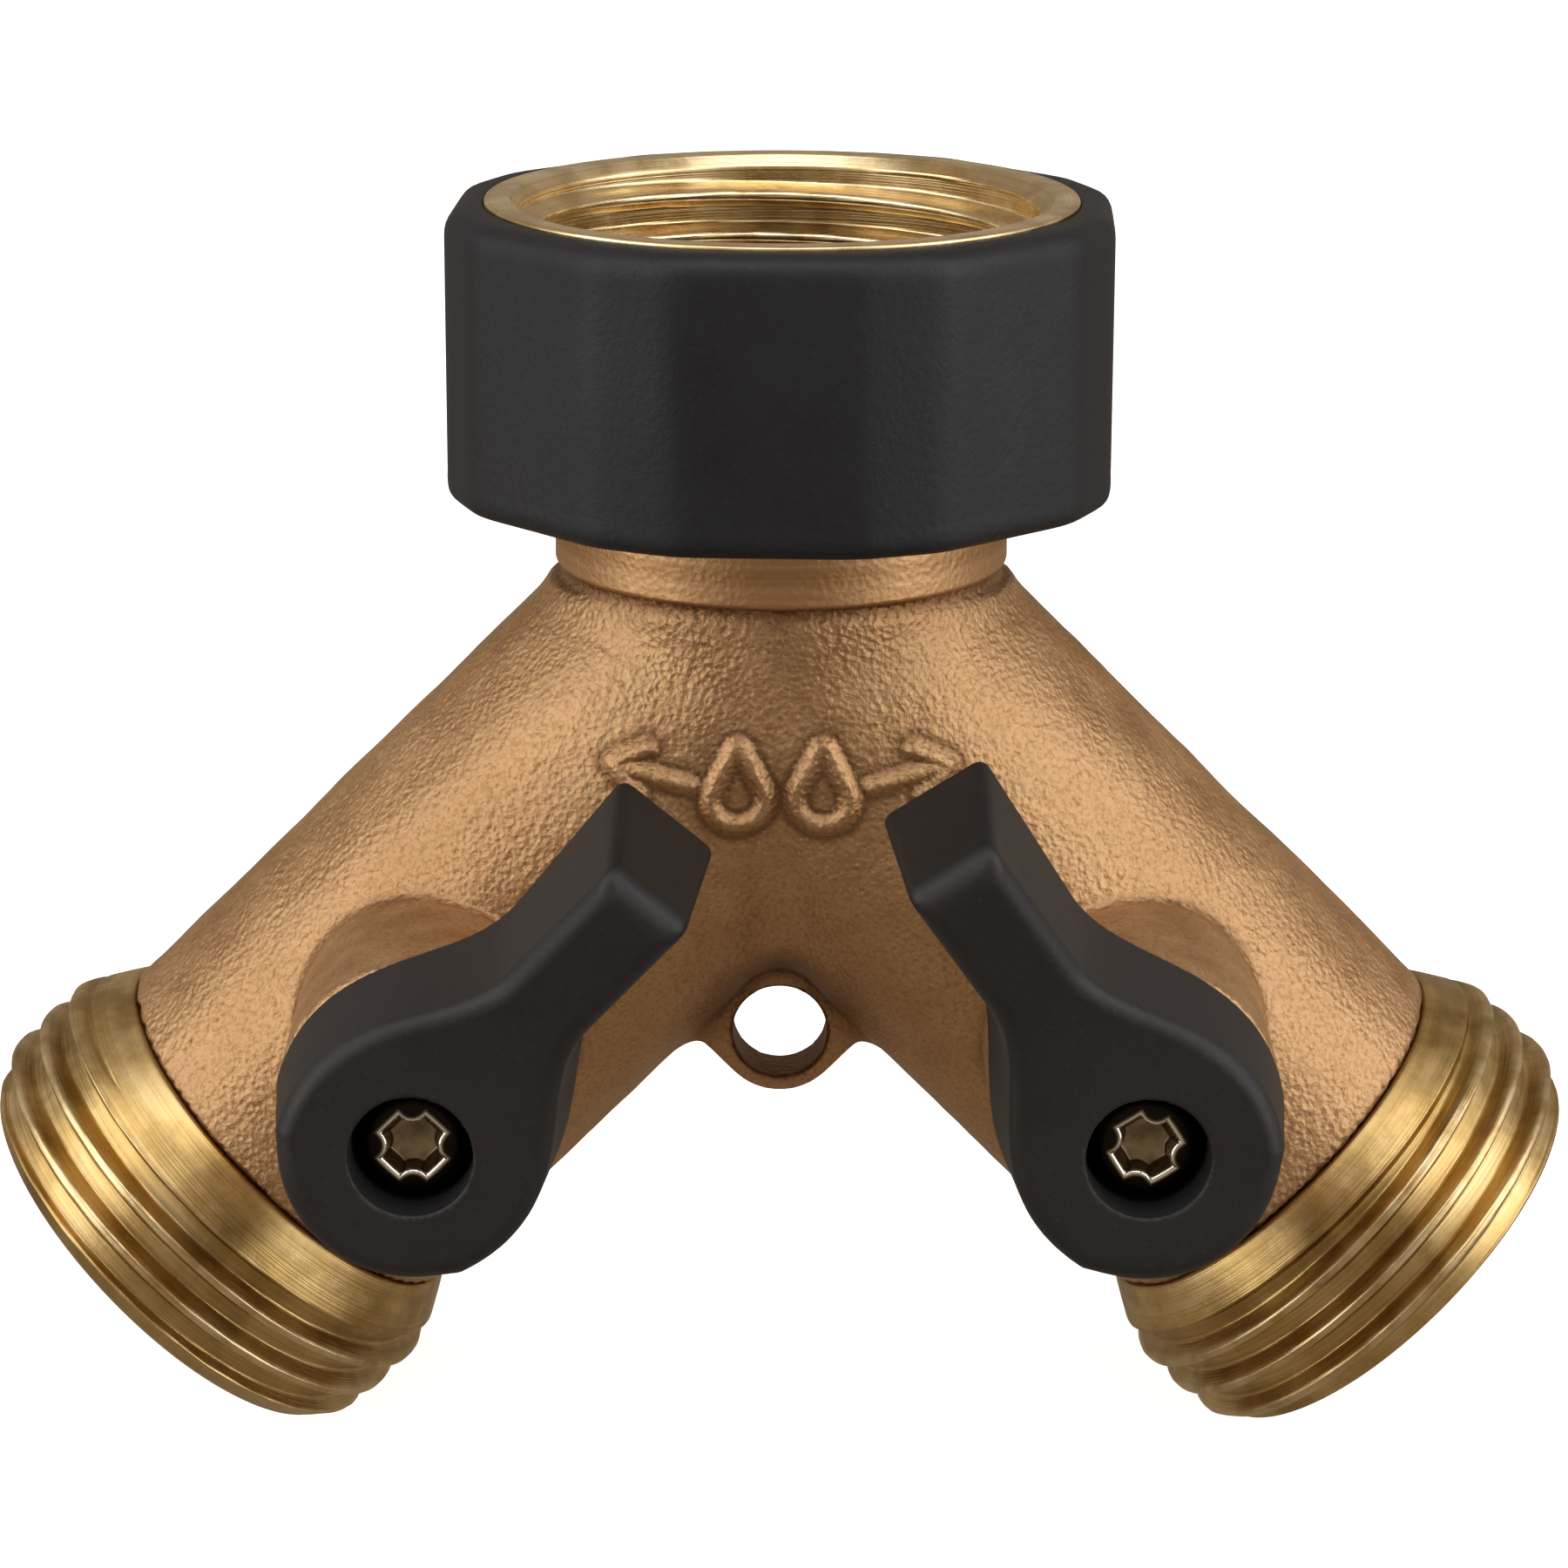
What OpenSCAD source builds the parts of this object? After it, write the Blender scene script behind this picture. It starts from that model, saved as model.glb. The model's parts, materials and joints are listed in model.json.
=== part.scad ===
// Two-way garden-hose splitter: a cast Y body with a swivel inlet nut and two
// quarter-turn ball valves. Millimetres. +Z up, the outlets spread along X and
// the levers face -Y. The origin is on the inlet nut's axis at the inner end
// of its thread, where the hose washer's face lies.

/* [Casting] */
// Drop from the origin to the point where the three pipe axes meet
junction_drop = 15.6; // [15:0.1:18]
// Radius of the neck
neck_r = 11.76; // [11.4:0.02:11.8]
// Radius of each branch
branch_r = 11.39; // [11.2:0.01:11.5]
// Angle between a branch and straight down
branch_spread = 45; // [44:0.5:46]
// Distance along a branch from the junction to the outlet fitting
branch_length = 37.2; // [37:0.1:39]
// Distance along a branch from the junction to the valve stem
valve_distance = 24.97; // [24.8:0.01:25.2]
// Radius of a valve boss at its rim
boss_rim_r = 6.85; // [6.6:0.05:7.1]
// Distance of the boss rim from the plane of the pipe axes
boss_height = 20.2; // [19.8:0.1:21]
// Thickness of the hanging lug
lug_thickness = 4.5; // [3:0.1:6]
// Radius of the hanging hole
lug_hole_r = 2.5; // [2:0.1:2.7]
// Height of the raised mark on the front
mark_height = 0.4; // [0.3:0.05:0.5]

/* [Hose thread] */
// Thread pitch (11.5 threads an inch)
thread_pitch = 2.209; // [2.2:0.001:2.22]
// Crest radius of the outlet threads
outlet_crest_r = 13.4; // [13.3:0.01:13.45]
// Crest radius of the inlet nut's thread
inlet_crest_r = 12.35; // [12.3:0.01:12.5]
// Depth of both threads
thread_depth = 1.15; // [1.1:0.01:1.3]
// Number of outlet thread turns
outlet_turns = 3; // [2:1:3]
// Number of inlet thread turns
inlet_turns = 4; // [3:1:4]

/* [Inlet nut] */
// Height of the nut's mouth above the origin
nut_top = 8.6; // [8.4:0.1:9.5]
// Outer radius of the brass nut
nut_r = 15.25; // [15.1:0.05:15.4]
// Corner radius of the grip
grip_corner_r = 17.55; // [17.2:0.05:18]
// Angle that each wide flat of the grip takes
grip_flat_angle = 30; // [26:1:36]
// Turn of the grip's pattern about the axis, from a wide flat facing the front
grip_turn = -2.4; // [-22:0.1:22]

/* [Valve] */
// Radius of the ball
ball_r = 8; // [7.9:0.01:8.02]
// Radius of the waterway through the ball
ball_bore_r = 5; // [4:0.1:5.2]
// Radius of the stem in the boss
stem_r = 3.9; // [3.85:0.01:3.92]
// Direction of the left lever, anticlockwise from +X in the front view
left_lever_angle = 50.6; // [45:0.1:60]
// Direction of the right lever, anticlockwise from +X in the front view
right_lever_angle = 122.3; // [115:0.1:135]

/* [Lever] */
// Radius of the lever hub at its back
lever_hub_r = 7.2; // [7:0.05:7.4]
// Height of the lever hub
lever_hub_height = 7.6; // [7.4:0.1:8.5]
// Distance from the stem to the lever's tip
lever_reach = 18.9; // [17:0.1:19.5]
// Width of the arm at its back face
lever_width = 5.9; // [5:0.1:6.5]
// Thickness of the arm at its tip
lever_tip_thickness = 12.1; // [9:0.1:13]

/* [Hidden] */
$fn = 72;

// Sides: the left branch goes towards -X and the right branch towards +X
left = -1;
right = 1;
eps = 0.01;               // overlap that makes a clean cut
fit_gap = 0.05;           // running clearance of seals and shafts

// Colours
cast_brass = [0.69, 0.50, 0.31];
turned_brass = [0.80, 0.66, 0.38];
black_plastic = [0.16, 0.15, 0.16];
ptfe = [0.93, 0.93, 0.90];
black_rubber = [0.09, 0.09, 0.09];
steel = [0.62, 0.62, 0.60];

// Pipe axes
branch_turn = 180 - branch_spread;
valve_x = valve_distance * sin(branch_spread);
valve_z = -junction_drop - valve_distance * cos(branch_spread);
knuckle_r = (neck_r + branch_r) / 2 + 0.12;

// Inlet stack, from the collar's lower edge up to the washer
washer_top = -0.1;
washer_thickness = 3;
spigot_top = washer_top - washer_thickness - fit_gap;
spigot_r = 10.2;
inlet_bore_r = 7.5;
nut_bottom = -5.9;
nut_lip_top = -4.6;
nut_lip_r = spigot_r + 0.2;
neck_top = nut_bottom - 0.1;
ring_bottom = -4.5;
ring_thickness = 0.7;
ring_groove_r = 9.5;
ring_outer_r = 11.4;
ring_gap_angle = 36;
grip_bottom = -6.6;
grip_top = nut_top - 0.2;
grip_lip_r = 13.3;
grip_edge = 1;

// Threads
inlet_root_r = inlet_crest_r + thread_depth;
outlet_root_r = outlet_crest_r - thread_depth;
crest_width = 0.4;
root_width = crest_width + 2 * thread_depth * tan(30);
first_inlet_crest = 0.15;
lead_in = 0.8;

// Branch stack, measured along the branch from the junction
seat_outer_r = 8.6;
seat_bore_r = 5.3;
seat_near = 4.4;          // seat faces, measured from the ball's centre
seat_far = 7;
chamber_r = seat_outer_r + fit_gap;
chamber_start = valve_distance - seat_far;
socket_start = valve_distance + seat_far;
spigot_fit_r = 9.3;
waterway_r = 6;
outlet_bore_r = 5.5;
outlet_mouth_r = 9;
outlet_length = 9.6;
shoulder_width = 2.6;
shoulder_r = 13.1;
shoulder_small_r = 11.7;
first_outlet_crest = branch_length + shoulder_width + 0.95;
outlet_end = branch_length + outlet_length;
o_ring_position = socket_start + 2.2;
o_ring_wire_r = 0.68;
o_ring_r = spigot_fit_r - o_ring_wire_r + 0.02;

// Stem stack, measured towards -Y from the plane of the pipe axes
flange_start = ball_r + 0.7;
flange_thickness = 1.2;
flange_r = 5.2;
stem_washer_start = flange_start + flange_thickness;
stem_washer_thickness = 0.6;
flange_recess = stem_washer_start + stem_washer_thickness + fit_gap;
flange_recess_r = flange_r + 0.2;
stem_ring_wire_r = 0.8;
stem_ring_positions = [12.2, 14.8];
stem_ring_groove = 2;
lever_back = boss_height + 0.1;
drive_width = 5.2;
drive_height = 2.3;
tang_width = 2.9;
tang_length = 7;
tang_start = 6.4;
stop_tab_width = 2;
stop_tab_r = 6.2;
stop_margin = 12.3;       // half the tab's angle, plus a little room
boss_base_r = boss_rim_r + 0.5;
boss_base = 7;

// Lever and screw, measured from the lever's back face
lever_socket = drive_height + 0.1;
lever_web_top = 3.6;
counterbore_r = 3;
screw_head_r = 2.75;
screw_head_height = 2;
screw_r = 1.5;
screw_length = 7.6;
lever_hub_front_r = 6.9;
lever_edge = 0.6;
lever_fillet = 4;
lever_front_width = 4.4;
lever_tip_taper = 0.5;
lever_ramp_start = 4.5;

// Lug and mark, in the front view, measured from the junction
lug_hole_z = -20.4;
lug_end_r = 3.77;
lug_outline = [[-9, -12], [-5.3, -21.7], [-2.2, -23.46], [2.2, -23.46], [5.3, -21.7], [9, -12]];
drop_r = 1.9;
drop_z = -5;
drop_tip = 3.9;
arrow_start = 4.4;
arrow_shaft = 1.7;
arrow_length = 4;
arrow_tilt = 14;
arrow_z = -4;

// Places a child along a branch, with its +Z pointing out of the outlet
module along_branch(side, distance = 0) {
    translate([0, 0, -junction_drop])
        rotate([0, side * branch_turn, 0])
            translate([0, 0, distance])
                children();
}

// Places a child on a valve stem's axis: its XY plane is the front view and
// its +Z points out of the boss, towards -Y
module at_stem(side, height = 0) {
    translate([side * valve_x, 0, valve_z])
        rotate([90, 0, 0])
            translate([0, 0, height])
                children();
}

// Places a child in the front view at the junction, with its +Z towards -Y
module front_view() {
    translate([0, 0, -junction_drop])
        rotate([90, 0, 0])
            children();
}

module ring(outer, inner, height) {
    difference() {
        cylinder(h = height, r = outer);
        translate([0, 0, -1])
            cylinder(h = height + 2, r = inner);
    }
}

module o_ring(centre_r, wire_r) {
    rotate_extrude()
        translate([centre_r, 0])
            circle(r = wire_r, $fn = 24);
}

// One thread turn drawn as a closed ridge: its crest at crest_r, its root at root_r
module thread_ridge(crest_r, root_r) {
    overlap = crest_r > root_r ? -0.3 : 0.3;
    rotate_extrude()
        polygon([
            [root_r + overlap, -root_width / 2],
            [root_r, -root_width / 2],
            [crest_r, -crest_width / 2],
            [crest_r, crest_width / 2],
            [root_r, root_width / 2],
            [root_r + overlap, root_width / 2]
        ]);
}

// The outer skin of the pipes, which the raised mark also follows
module casting_skin(grow = 0) {
    translate([0, 0, -junction_drop])
        cylinder(h = junction_drop + neck_top, r = neck_r + grow);
    translate([0, 0, -junction_drop])
        sphere(r = knuckle_r + grow);
    for (side = [left, right])
        along_branch(side)
            cylinder(h = branch_length, r = branch_r + grow);
}

module spigot() {
    translate([0, 0, neck_top - 1])
        cylinder(h = spigot_top - neck_top + 1, r = spigot_r);
}

module ring_groove() {
    translate([0, 0, ring_bottom - fit_gap])
        ring(spigot_r + 1, ring_groove_r, ring_thickness + 2 * fit_gap);
}

module boss(side) {
    at_stem(side, boss_base)
        cylinder(h = boss_height - boss_base, r1 = boss_base_r, r2 = boss_rim_r);
}

module lug() {
    front_view()
        translate([0, 0, -lug_thickness / 2])
            linear_extrude(lug_thickness)
                union() {
                    polygon(lug_outline);
                    translate([0, lug_hole_z])
                        circle(r = lug_end_r);
                }
}

module drop_mark() {
    tangent = asin(drop_r / drop_tip);
    translate([0, drop_z]) {
        circle(r = drop_r, $fn = 48);
        polygon([
            [0, drop_tip],
            [-drop_r * cos(tangent), drop_r * sin(tangent)],
            [0, 0],
            [drop_r * cos(tangent), drop_r * sin(tangent)]
        ]);
    }
}

module arrow_mark() {
    translate([arrow_start, arrow_z])
        rotate(arrow_tilt)
            polygon([
                [0, -0.4], [arrow_shaft, -0.4], [arrow_shaft, -1.1], [arrow_length, 0],
                [arrow_shaft, 1.1], [arrow_shaft, 0.4], [0, 0.4]
            ]);
}

// A water drop between two outward arrows, raised a little from the skin
module raised_mark() {
    intersection() {
        casting_skin(mark_height);
        front_view()
            linear_extrude(neck_r + 5)
                union() {
                    drop_mark();
                    arrow_mark();
                    mirror([1, 0])
                        arrow_mark();
                }
    }
}

// The pocket that the stem's stop tab swings in, a quarter turn wide
module stop_pocket(side) {
    half = 45 + stop_margin;
    reach = stop_tab_r + 0.2;
    steps = 12;
    at_stem(side, ball_r - 1)
        linear_extrude(stem_washer_start + fit_gap - ball_r + 1)
            polygon(concat([[0, 0]], [
                for (i = [0 : steps])
                    let (a = 270 - half + 2 * half * i / steps)
                        [reach * cos(a), reach * sin(a)]
            ]));
}

module branch_cuts(side) {
    along_branch(side)
        cylinder(h = branch_length, r = waterway_r);
    along_branch(side, chamber_start)
        cylinder(h = branch_length, r = chamber_r);
    along_branch(side, socket_start)
        cylinder(h = branch_length, r = spigot_fit_r + fit_gap);
    at_stem(side)
        cylinder(h = boss_height + 1, r = stem_r + fit_gap);
    at_stem(side)
        cylinder(h = flange_recess, r = flange_recess_r);
    stop_pocket(side);
}

module body() {
    color(cast_brass)
        difference() {
            union() {
                casting_skin();
                spigot();
                boss(left);
                boss(right);
                lug();
                raised_mark();
            }
            translate([0, 0, -junction_drop])
                cylinder(h = junction_drop + 1, r = inlet_bore_r);
            translate([0, 0, -junction_drop])
                sphere(r = inlet_bore_r);
            ring_groove();
            branch_cuts(left);
            branch_cuts(right);
            front_view()
                translate([0, lug_hole_z, -lug_thickness])
                    cylinder(h = 2 * lug_thickness, r = lug_hole_r);
        }
}

module swivel_nut() {
    color(turned_brass)
        union() {
            difference() {
                translate([0, 0, nut_bottom])
                    cylinder(h = nut_top - nut_bottom, r = nut_r);
                translate([0, 0, nut_bottom - 1])
                    cylinder(h = nut_top - nut_bottom, r = nut_lip_r);
                translate([0, 0, nut_lip_top])
                    cylinder(h = nut_top - nut_lip_top, r = inlet_root_r);
                translate([0, 0, nut_top - lead_in])
                    cylinder(h = lead_in + eps, r1 = inlet_root_r, r2 = inlet_root_r + 0.5);
                translate([0, 0, nut_top])
                    cylinder(h = nut_top, r = inlet_root_r + 0.5);
            }
            for (turn = [0 : inlet_turns - 1])
                translate([0, 0, first_inlet_crest + turn * thread_pitch])
                    thread_ridge(inlet_crest_r, inlet_root_r);
        }
}

module nut_grip() {
    flats = 8;
    half = grip_flat_angle / 2;
    bevel = grip_edge * tan(60);
    color(black_plastic)
        difference() {
            intersection() {
                translate([0, 0, grip_bottom])
                    linear_extrude(grip_top - grip_bottom)
                        polygon([
                            for (flat = [0 : flats - 1], edge = [-1, 1])
                                let (a = 270 + grip_turn + flat * 360 / flats + edge * half)
                                    grip_corner_r * [cos(a), sin(a)]
                        ]);
                rotate_extrude()
                    polygon([
                        [0, grip_bottom],
                        [grip_corner_r - bevel / 2, grip_bottom],
                        [grip_corner_r + 0.1, grip_bottom + grip_edge],
                        [grip_corner_r + 0.1, grip_top - grip_edge],
                        [grip_corner_r - bevel / 2, grip_top],
                        [0, grip_top]
                    ]);
            }
            translate([0, 0, grip_bottom - 1])
                cylinder(h = grip_top - grip_bottom + 2, r = grip_lip_r);
            translate([0, 0, nut_bottom])
                cylinder(h = grip_top - nut_bottom + 1, r = nut_r);
        }
}

module nut_retaining_ring() {
    half_gap = ring_outer_r * tan(ring_gap_angle / 2);
    color(steel)
        translate([0, 0, ring_bottom])
            difference() {
                ring(ring_outer_r, ring_groove_r + fit_gap, ring_thickness);
                translate([0, 0, -1])
                    linear_extrude(ring_thickness + 2)
                        polygon([[0, 0], [-half_gap, 2 * ring_outer_r], [half_gap, 2 * ring_outer_r]]);
            }
}

module hose_washer() {
    washer_r = inlet_crest_r - 0.2;
    tab_reach = inlet_root_r - 0.2;
    color(black_rubber)
        difference() {
            union() {
                translate([0, 0, washer_top - washer_thickness])
                    cylinder(h = washer_thickness, r = washer_r);
                for (turn = [30, 150, 270])
                    rotate(turn)
                        translate([0, -1.5, washer_top - 2.2])
                            cube([tab_reach, 3, 1]);
            }
            translate([0, 0, washer_top - washer_thickness - 1])
                cylinder(h = washer_thickness + 2, r = inlet_bore_r + 0.5);
        }
}

module outlet_fitting(side) {
    color(turned_brass)
        along_branch(side)
            difference() {
                union() {
                    translate([0, 0, socket_start])
                        cylinder(h = branch_length - socket_start + 1, r = spigot_fit_r);
                    translate([0, 0, branch_length])
                        cylinder(h = shoulder_width, r1 = shoulder_small_r, r2 = shoulder_r);
                    translate([0, 0, branch_length + 1])
                        cylinder(h = outlet_length - 1, r = outlet_root_r);
                    for (turn = [0 : outlet_turns - 1])
                        translate([0, 0, first_outlet_crest + turn * thread_pitch])
                            thread_ridge(outlet_crest_r, outlet_root_r);
                }
                translate([0, 0, socket_start - 1])
                    cylinder(h = outlet_end, r = outlet_bore_r);
                translate([0, 0, branch_length])
                    cylinder(h = 3, r1 = outlet_bore_r, r2 = outlet_mouth_r);
                translate([0, 0, branch_length + 3 - eps])
                    cylinder(h = outlet_length, r = outlet_mouth_r);
                translate([0, 0, o_ring_position - o_ring_wire_r - fit_gap])
                    ring(spigot_fit_r + 1, o_ring_r - o_ring_wire_r, 2 * (o_ring_wire_r + fit_gap));
            }
}

module outlet_o_ring(side) {
    color(black_rubber)
        along_branch(side, o_ring_position)
            o_ring(o_ring_r, o_ring_wire_r);
}

// A seat ring with a spherical face that the ball turns against
module ball_seat(side, way) {
    start = way > 0 ? seat_near : -seat_far;
    color(ptfe)
        difference() {
            along_branch(side, valve_distance + start)
                ring(seat_outer_r, seat_bore_r, seat_far - seat_near);
            along_branch(side, valve_distance)
                sphere(r = ball_r + fit_gap);
        }
}

// The waterway is parallel to the lever, and the slot for the stem lies across it
module ball(side, lever_angle) {
    color(steel)
        at_stem(side)
            rotate(lever_angle)
                difference() {
                    sphere(r = ball_r);
                    rotate([0, 90, 0])
                        cylinder(h = 3 * ball_r, r = ball_bore_r, center = true);
                    translate([-tang_width / 2 - fit_gap, -ball_r, tang_start - 0.2])
                        cube([tang_width + 2 * fit_gap, 2 * ball_r, ball_r]);
                }
}

module stem(side, lever_angle) {
    color(turned_brass)
        at_stem(side)
            rotate(lever_angle)
                difference() {
                    union() {
                        translate([-tang_width / 2, -tang_length / 2, tang_start])
                            cube([tang_width, tang_length, flange_start - tang_start + eps]);
                        translate([0, 0, flange_start])
                            cylinder(h = flange_thickness, r = flange_r);
                        translate([-stop_tab_r, -stop_tab_width / 2, flange_start])
                            cube([stop_tab_r, stop_tab_width, flange_thickness]);
                        translate([0, 0, flange_start])
                            cylinder(h = lever_back - flange_start, r = stem_r);
                        translate([-drive_width / 2, -drive_width / 2, lever_back - 1])
                            cube([drive_width, drive_width, drive_height + 1]);
                    }
                    for (place = stem_ring_positions)
                        translate([0, 0, place - stem_ring_groove / 2])
                            ring(stem_r + 1, stem_r - 2 * stem_ring_wire_r, stem_ring_groove);
                    translate([0, 0, lever_back + lever_web_top - screw_length])
                        cylinder(h = screw_length, r = screw_r);
                }
}

module stem_washer(side) {
    color(ptfe)
        at_stem(side, stem_washer_start)
            ring(flange_r, stem_r, stem_washer_thickness);
}

module stem_o_rings(side) {
    color(black_rubber)
        for (place = stem_ring_positions)
            at_stem(side, place)
                o_ring(stem_r - stem_ring_wire_r, stem_ring_wire_r);
}

// The arm's eight corners, rounded: it widens towards the back and its front
// face climbs away from the body towards the tip
module lever_arm() {
    edge = lever_edge;
    back_half = lever_width / 2 - edge;
    front_half = lever_front_width / 2 - edge;
    hull()
        for (way = [-1, 1]) {
            translate([0, way * back_half, edge])
                sphere(r = edge, $fn = 16);
            translate([lever_reach - edge, way * back_half, edge])
                sphere(r = edge, $fn = 16);
            translate([lever_ramp_start, way * front_half, lever_hub_height - 2 * edge])
                sphere(r = edge, $fn = 16);
            translate([lever_reach - lever_tip_taper - edge, way * front_half, lever_tip_thickness - edge])
                sphere(r = edge, $fn = 16);
        }
}

module lever_hub_web() {
    linear_extrude(lever_hub_height - 2 * lever_edge)
        offset(r = -lever_fillet)
            offset(delta = lever_fillet)
                union() {
                    circle(r = lever_hub_front_r - 0.2, $fn = 48);
                    translate([0, -lever_width / 2 + 0.2])
                        square([lever_reach - 3, lever_width - 0.4]);
                }
}

module lever(side, lever_angle) {
    color(black_plastic)
        at_stem(side, lever_back)
            rotate(lever_angle)
                difference() {
                    union() {
                        cylinder(h = lever_hub_height - lever_edge, r1 = lever_hub_r, r2 = lever_hub_front_r);
                        translate([0, 0, lever_hub_height - lever_edge])
                            cylinder(h = lever_edge, r1 = lever_hub_front_r, r2 = lever_hub_front_r - lever_edge);
                        lever_hub_web();
                        lever_arm();
                    }
                    translate([-drive_width / 2 - fit_gap, -drive_width / 2 - fit_gap, -1])
                        cube([drive_width + 2 * fit_gap, drive_width + 2 * fit_gap, lever_socket + 1]);
                    cylinder(h = lever_hub_height + 1, r = screw_r + 0.2);
                    translate([0, 0, lever_web_top])
                        cylinder(h = 3 * lever_hub_height, r = counterbore_r);
                }
}

module lever_screw(side, lever_angle) {
    slot = 3.6;
    slot_width = 0.95;
    slot_depth = 1.3;
    color(steel)
        at_stem(side, lever_back + lever_web_top)
            rotate(lever_angle)
                difference() {
                    union() {
                        translate([0, 0, -screw_length + fit_gap])
                            cylinder(h = screw_length, r = screw_r - fit_gap);
                        cylinder(h = screw_head_height - 0.5, r = screw_head_r);
                        translate([0, 0, screw_head_height - 0.5])
                            cylinder(h = 0.5, r1 = screw_head_r, r2 = screw_head_r - 0.5);
                    }
                    for (turn = [0, 90])
                        rotate(turn)
                            translate([-slot / 2, -slot_width / 2, screw_head_height - slot_depth])
                                cube([slot, slot_width, slot_depth + 1]);
                }
}

body();
swivel_nut();
nut_grip();
nut_retaining_ring();
hose_washer();
outlet_fitting(left);  // left_outlet_fitting
outlet_fitting(right);  // right_outlet_fitting
outlet_o_ring(left);  // left_outlet_o_ring
outlet_o_ring(right);  // right_outlet_o_ring
ball_seat(left, -1);  // left_inner_seat
ball_seat(right, -1);  // right_inner_seat
ball_seat(left, 1);  // left_outer_seat
ball_seat(right, 1);  // right_outer_seat
ball(left, left_lever_angle);  // left_ball
ball(right, right_lever_angle);  // right_ball
stem(left, left_lever_angle);  // left_stem
stem(right, right_lever_angle);  // right_stem
stem_washer(left);  // left_stem_washer
stem_washer(right);  // right_stem_washer
stem_o_rings(left);  // left_stem_o_rings
stem_o_rings(right);  // right_stem_o_rings
lever(left, left_lever_angle);  // left_lever
lever(right, right_lever_angle);  // right_lever
lever_screw(left, left_lever_angle);  // left_lever_screw
lever_screw(right, right_lever_angle);  // right_lever_screw
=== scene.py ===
import itertools
import json
import math

import bmesh
import bpy
import numpy as np
from mathutils import Matrix, Vector


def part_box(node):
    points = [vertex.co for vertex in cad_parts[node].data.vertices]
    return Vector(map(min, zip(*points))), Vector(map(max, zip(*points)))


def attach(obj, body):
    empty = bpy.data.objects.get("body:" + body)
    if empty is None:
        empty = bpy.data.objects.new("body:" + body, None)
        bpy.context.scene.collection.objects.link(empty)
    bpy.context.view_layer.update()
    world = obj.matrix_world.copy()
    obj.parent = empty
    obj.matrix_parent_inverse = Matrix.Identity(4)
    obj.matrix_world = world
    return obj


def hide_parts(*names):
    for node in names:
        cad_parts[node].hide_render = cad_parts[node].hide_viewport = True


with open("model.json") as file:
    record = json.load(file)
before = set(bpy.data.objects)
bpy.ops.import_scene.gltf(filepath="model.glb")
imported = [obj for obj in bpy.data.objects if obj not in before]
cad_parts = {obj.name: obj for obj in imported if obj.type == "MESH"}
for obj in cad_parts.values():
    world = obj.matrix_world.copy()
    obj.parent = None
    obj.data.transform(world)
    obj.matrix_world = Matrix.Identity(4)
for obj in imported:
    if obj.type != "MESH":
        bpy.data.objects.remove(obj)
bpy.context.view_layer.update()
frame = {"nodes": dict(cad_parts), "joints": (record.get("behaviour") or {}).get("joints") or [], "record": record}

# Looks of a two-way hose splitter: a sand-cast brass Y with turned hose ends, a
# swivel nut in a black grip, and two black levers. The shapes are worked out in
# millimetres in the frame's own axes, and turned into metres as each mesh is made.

MM = 0.001
record = frame["record"]
mounts = {mount["name"]: mount for mount in record["mounts"]}
joints = {joint["name"]: joint for joint in frame["joints"]}

LEFT, RIGHT = -1, 1
SIDE_NAMES = {LEFT: "left", RIGHT: "right"}
FRONT = Vector((0, -1, 0))
THREAD_PITCH = 25.4 / 11.5
THREAD_DEPTH = 1.1


# ---- places from the frame

def corners(node):
    """Lowest and highest corner of a CAD node, in millimetres."""
    low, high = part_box(node)
    return np.array(low) / MM, np.array(high) / MM


def mount_place(name):
    """Where a mount is, in millimetres."""
    return np.array(mounts[name]["pos_m"]) / MM


nut_low, nut_high = corners("swivel_nut")
grip_low, grip_high = corners("nut_grip")
body_low, body_high = corners("body")
washer_low, washer_high = corners("hose_washer")

outlet_axis = np.array(mounts["right_outlet_thread"]["axis"])
thread_place = mount_place("right_outlet_thread")
junction_z = thread_place[2] - thread_place[0] * outlet_axis[2] / outlet_axis[0]
JUNCTION = np.array([0.0, 0.0, junction_z])
face_place = mount_place("right_outlet_face")
OUTLET_END = float((face_place - JUNCTION) @ outlet_axis)
OUTLET_LENGTH = 9.6
BRANCH_LENGTH = OUTLET_END - OUTLET_LENGTH
valve_place = {
    side: np.array(joints[SIDE_NAMES[side] + "_valve_turn"]["pos_m"]) / MM for side in (LEFT, RIGHT)
}
LEVER_BACK = -float(valve_place[RIGHT][1])
VALVE_DISTANCE = float((valve_place[RIGHT] - JUNCTION) @ outlet_axis)
OUTLET_CREST_R = mounts["right_outlet_thread"]["dims"]["r_mm"]
INLET_CREST_R = mounts["inlet_thread"]["dims"]["r_mm"]
NUT_R = float(nut_high[0])
LUG_HOLE = mount_place("hanging_eye")
LUG_HOLE_R = mounts["hanging_eye"]["dims"]["r_mm"]
LUG_THICKNESS = mounts["hanging_eye"]["dims"]["length_mm"]


def branch_axis(side):
    """Direction from the junction out of a branch."""
    return np.array([side * abs(outlet_axis[0]), 0.0, outlet_axis[2]])


def lever_angle(side):
    """Direction of a lever at rest in the front view, in degrees from +X."""
    open_end = joints[SIDE_NAMES[side] + "_valve_turn"]["range_deg"][0]
    along_branch = 90 + side * math.degrees(math.atan2(abs(outlet_axis[0]), -outlet_axis[2]))
    return along_branch + side * open_end


# ---- distance fields

def length(vectors):
    """Length of each of an array of vectors."""
    return np.sqrt((vectors * vectors).sum(-1))


def round_union(a, b, radius):
    """Union of two fields with a concave fillet of that radius where they cross square."""
    radius = np.maximum(radius, 1e-4)
    reach = np.sqrt(np.maximum(radius - a, 0) ** 2 + np.maximum(radius - b, 0) ** 2)
    return np.maximum(radius, np.minimum(a, b)) - reach


def round_overlap(a, b, radius):
    """Overlap of two fields with a rounded edge of that radius where they cross square."""
    return -round_union(-a, -b, radius)


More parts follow.
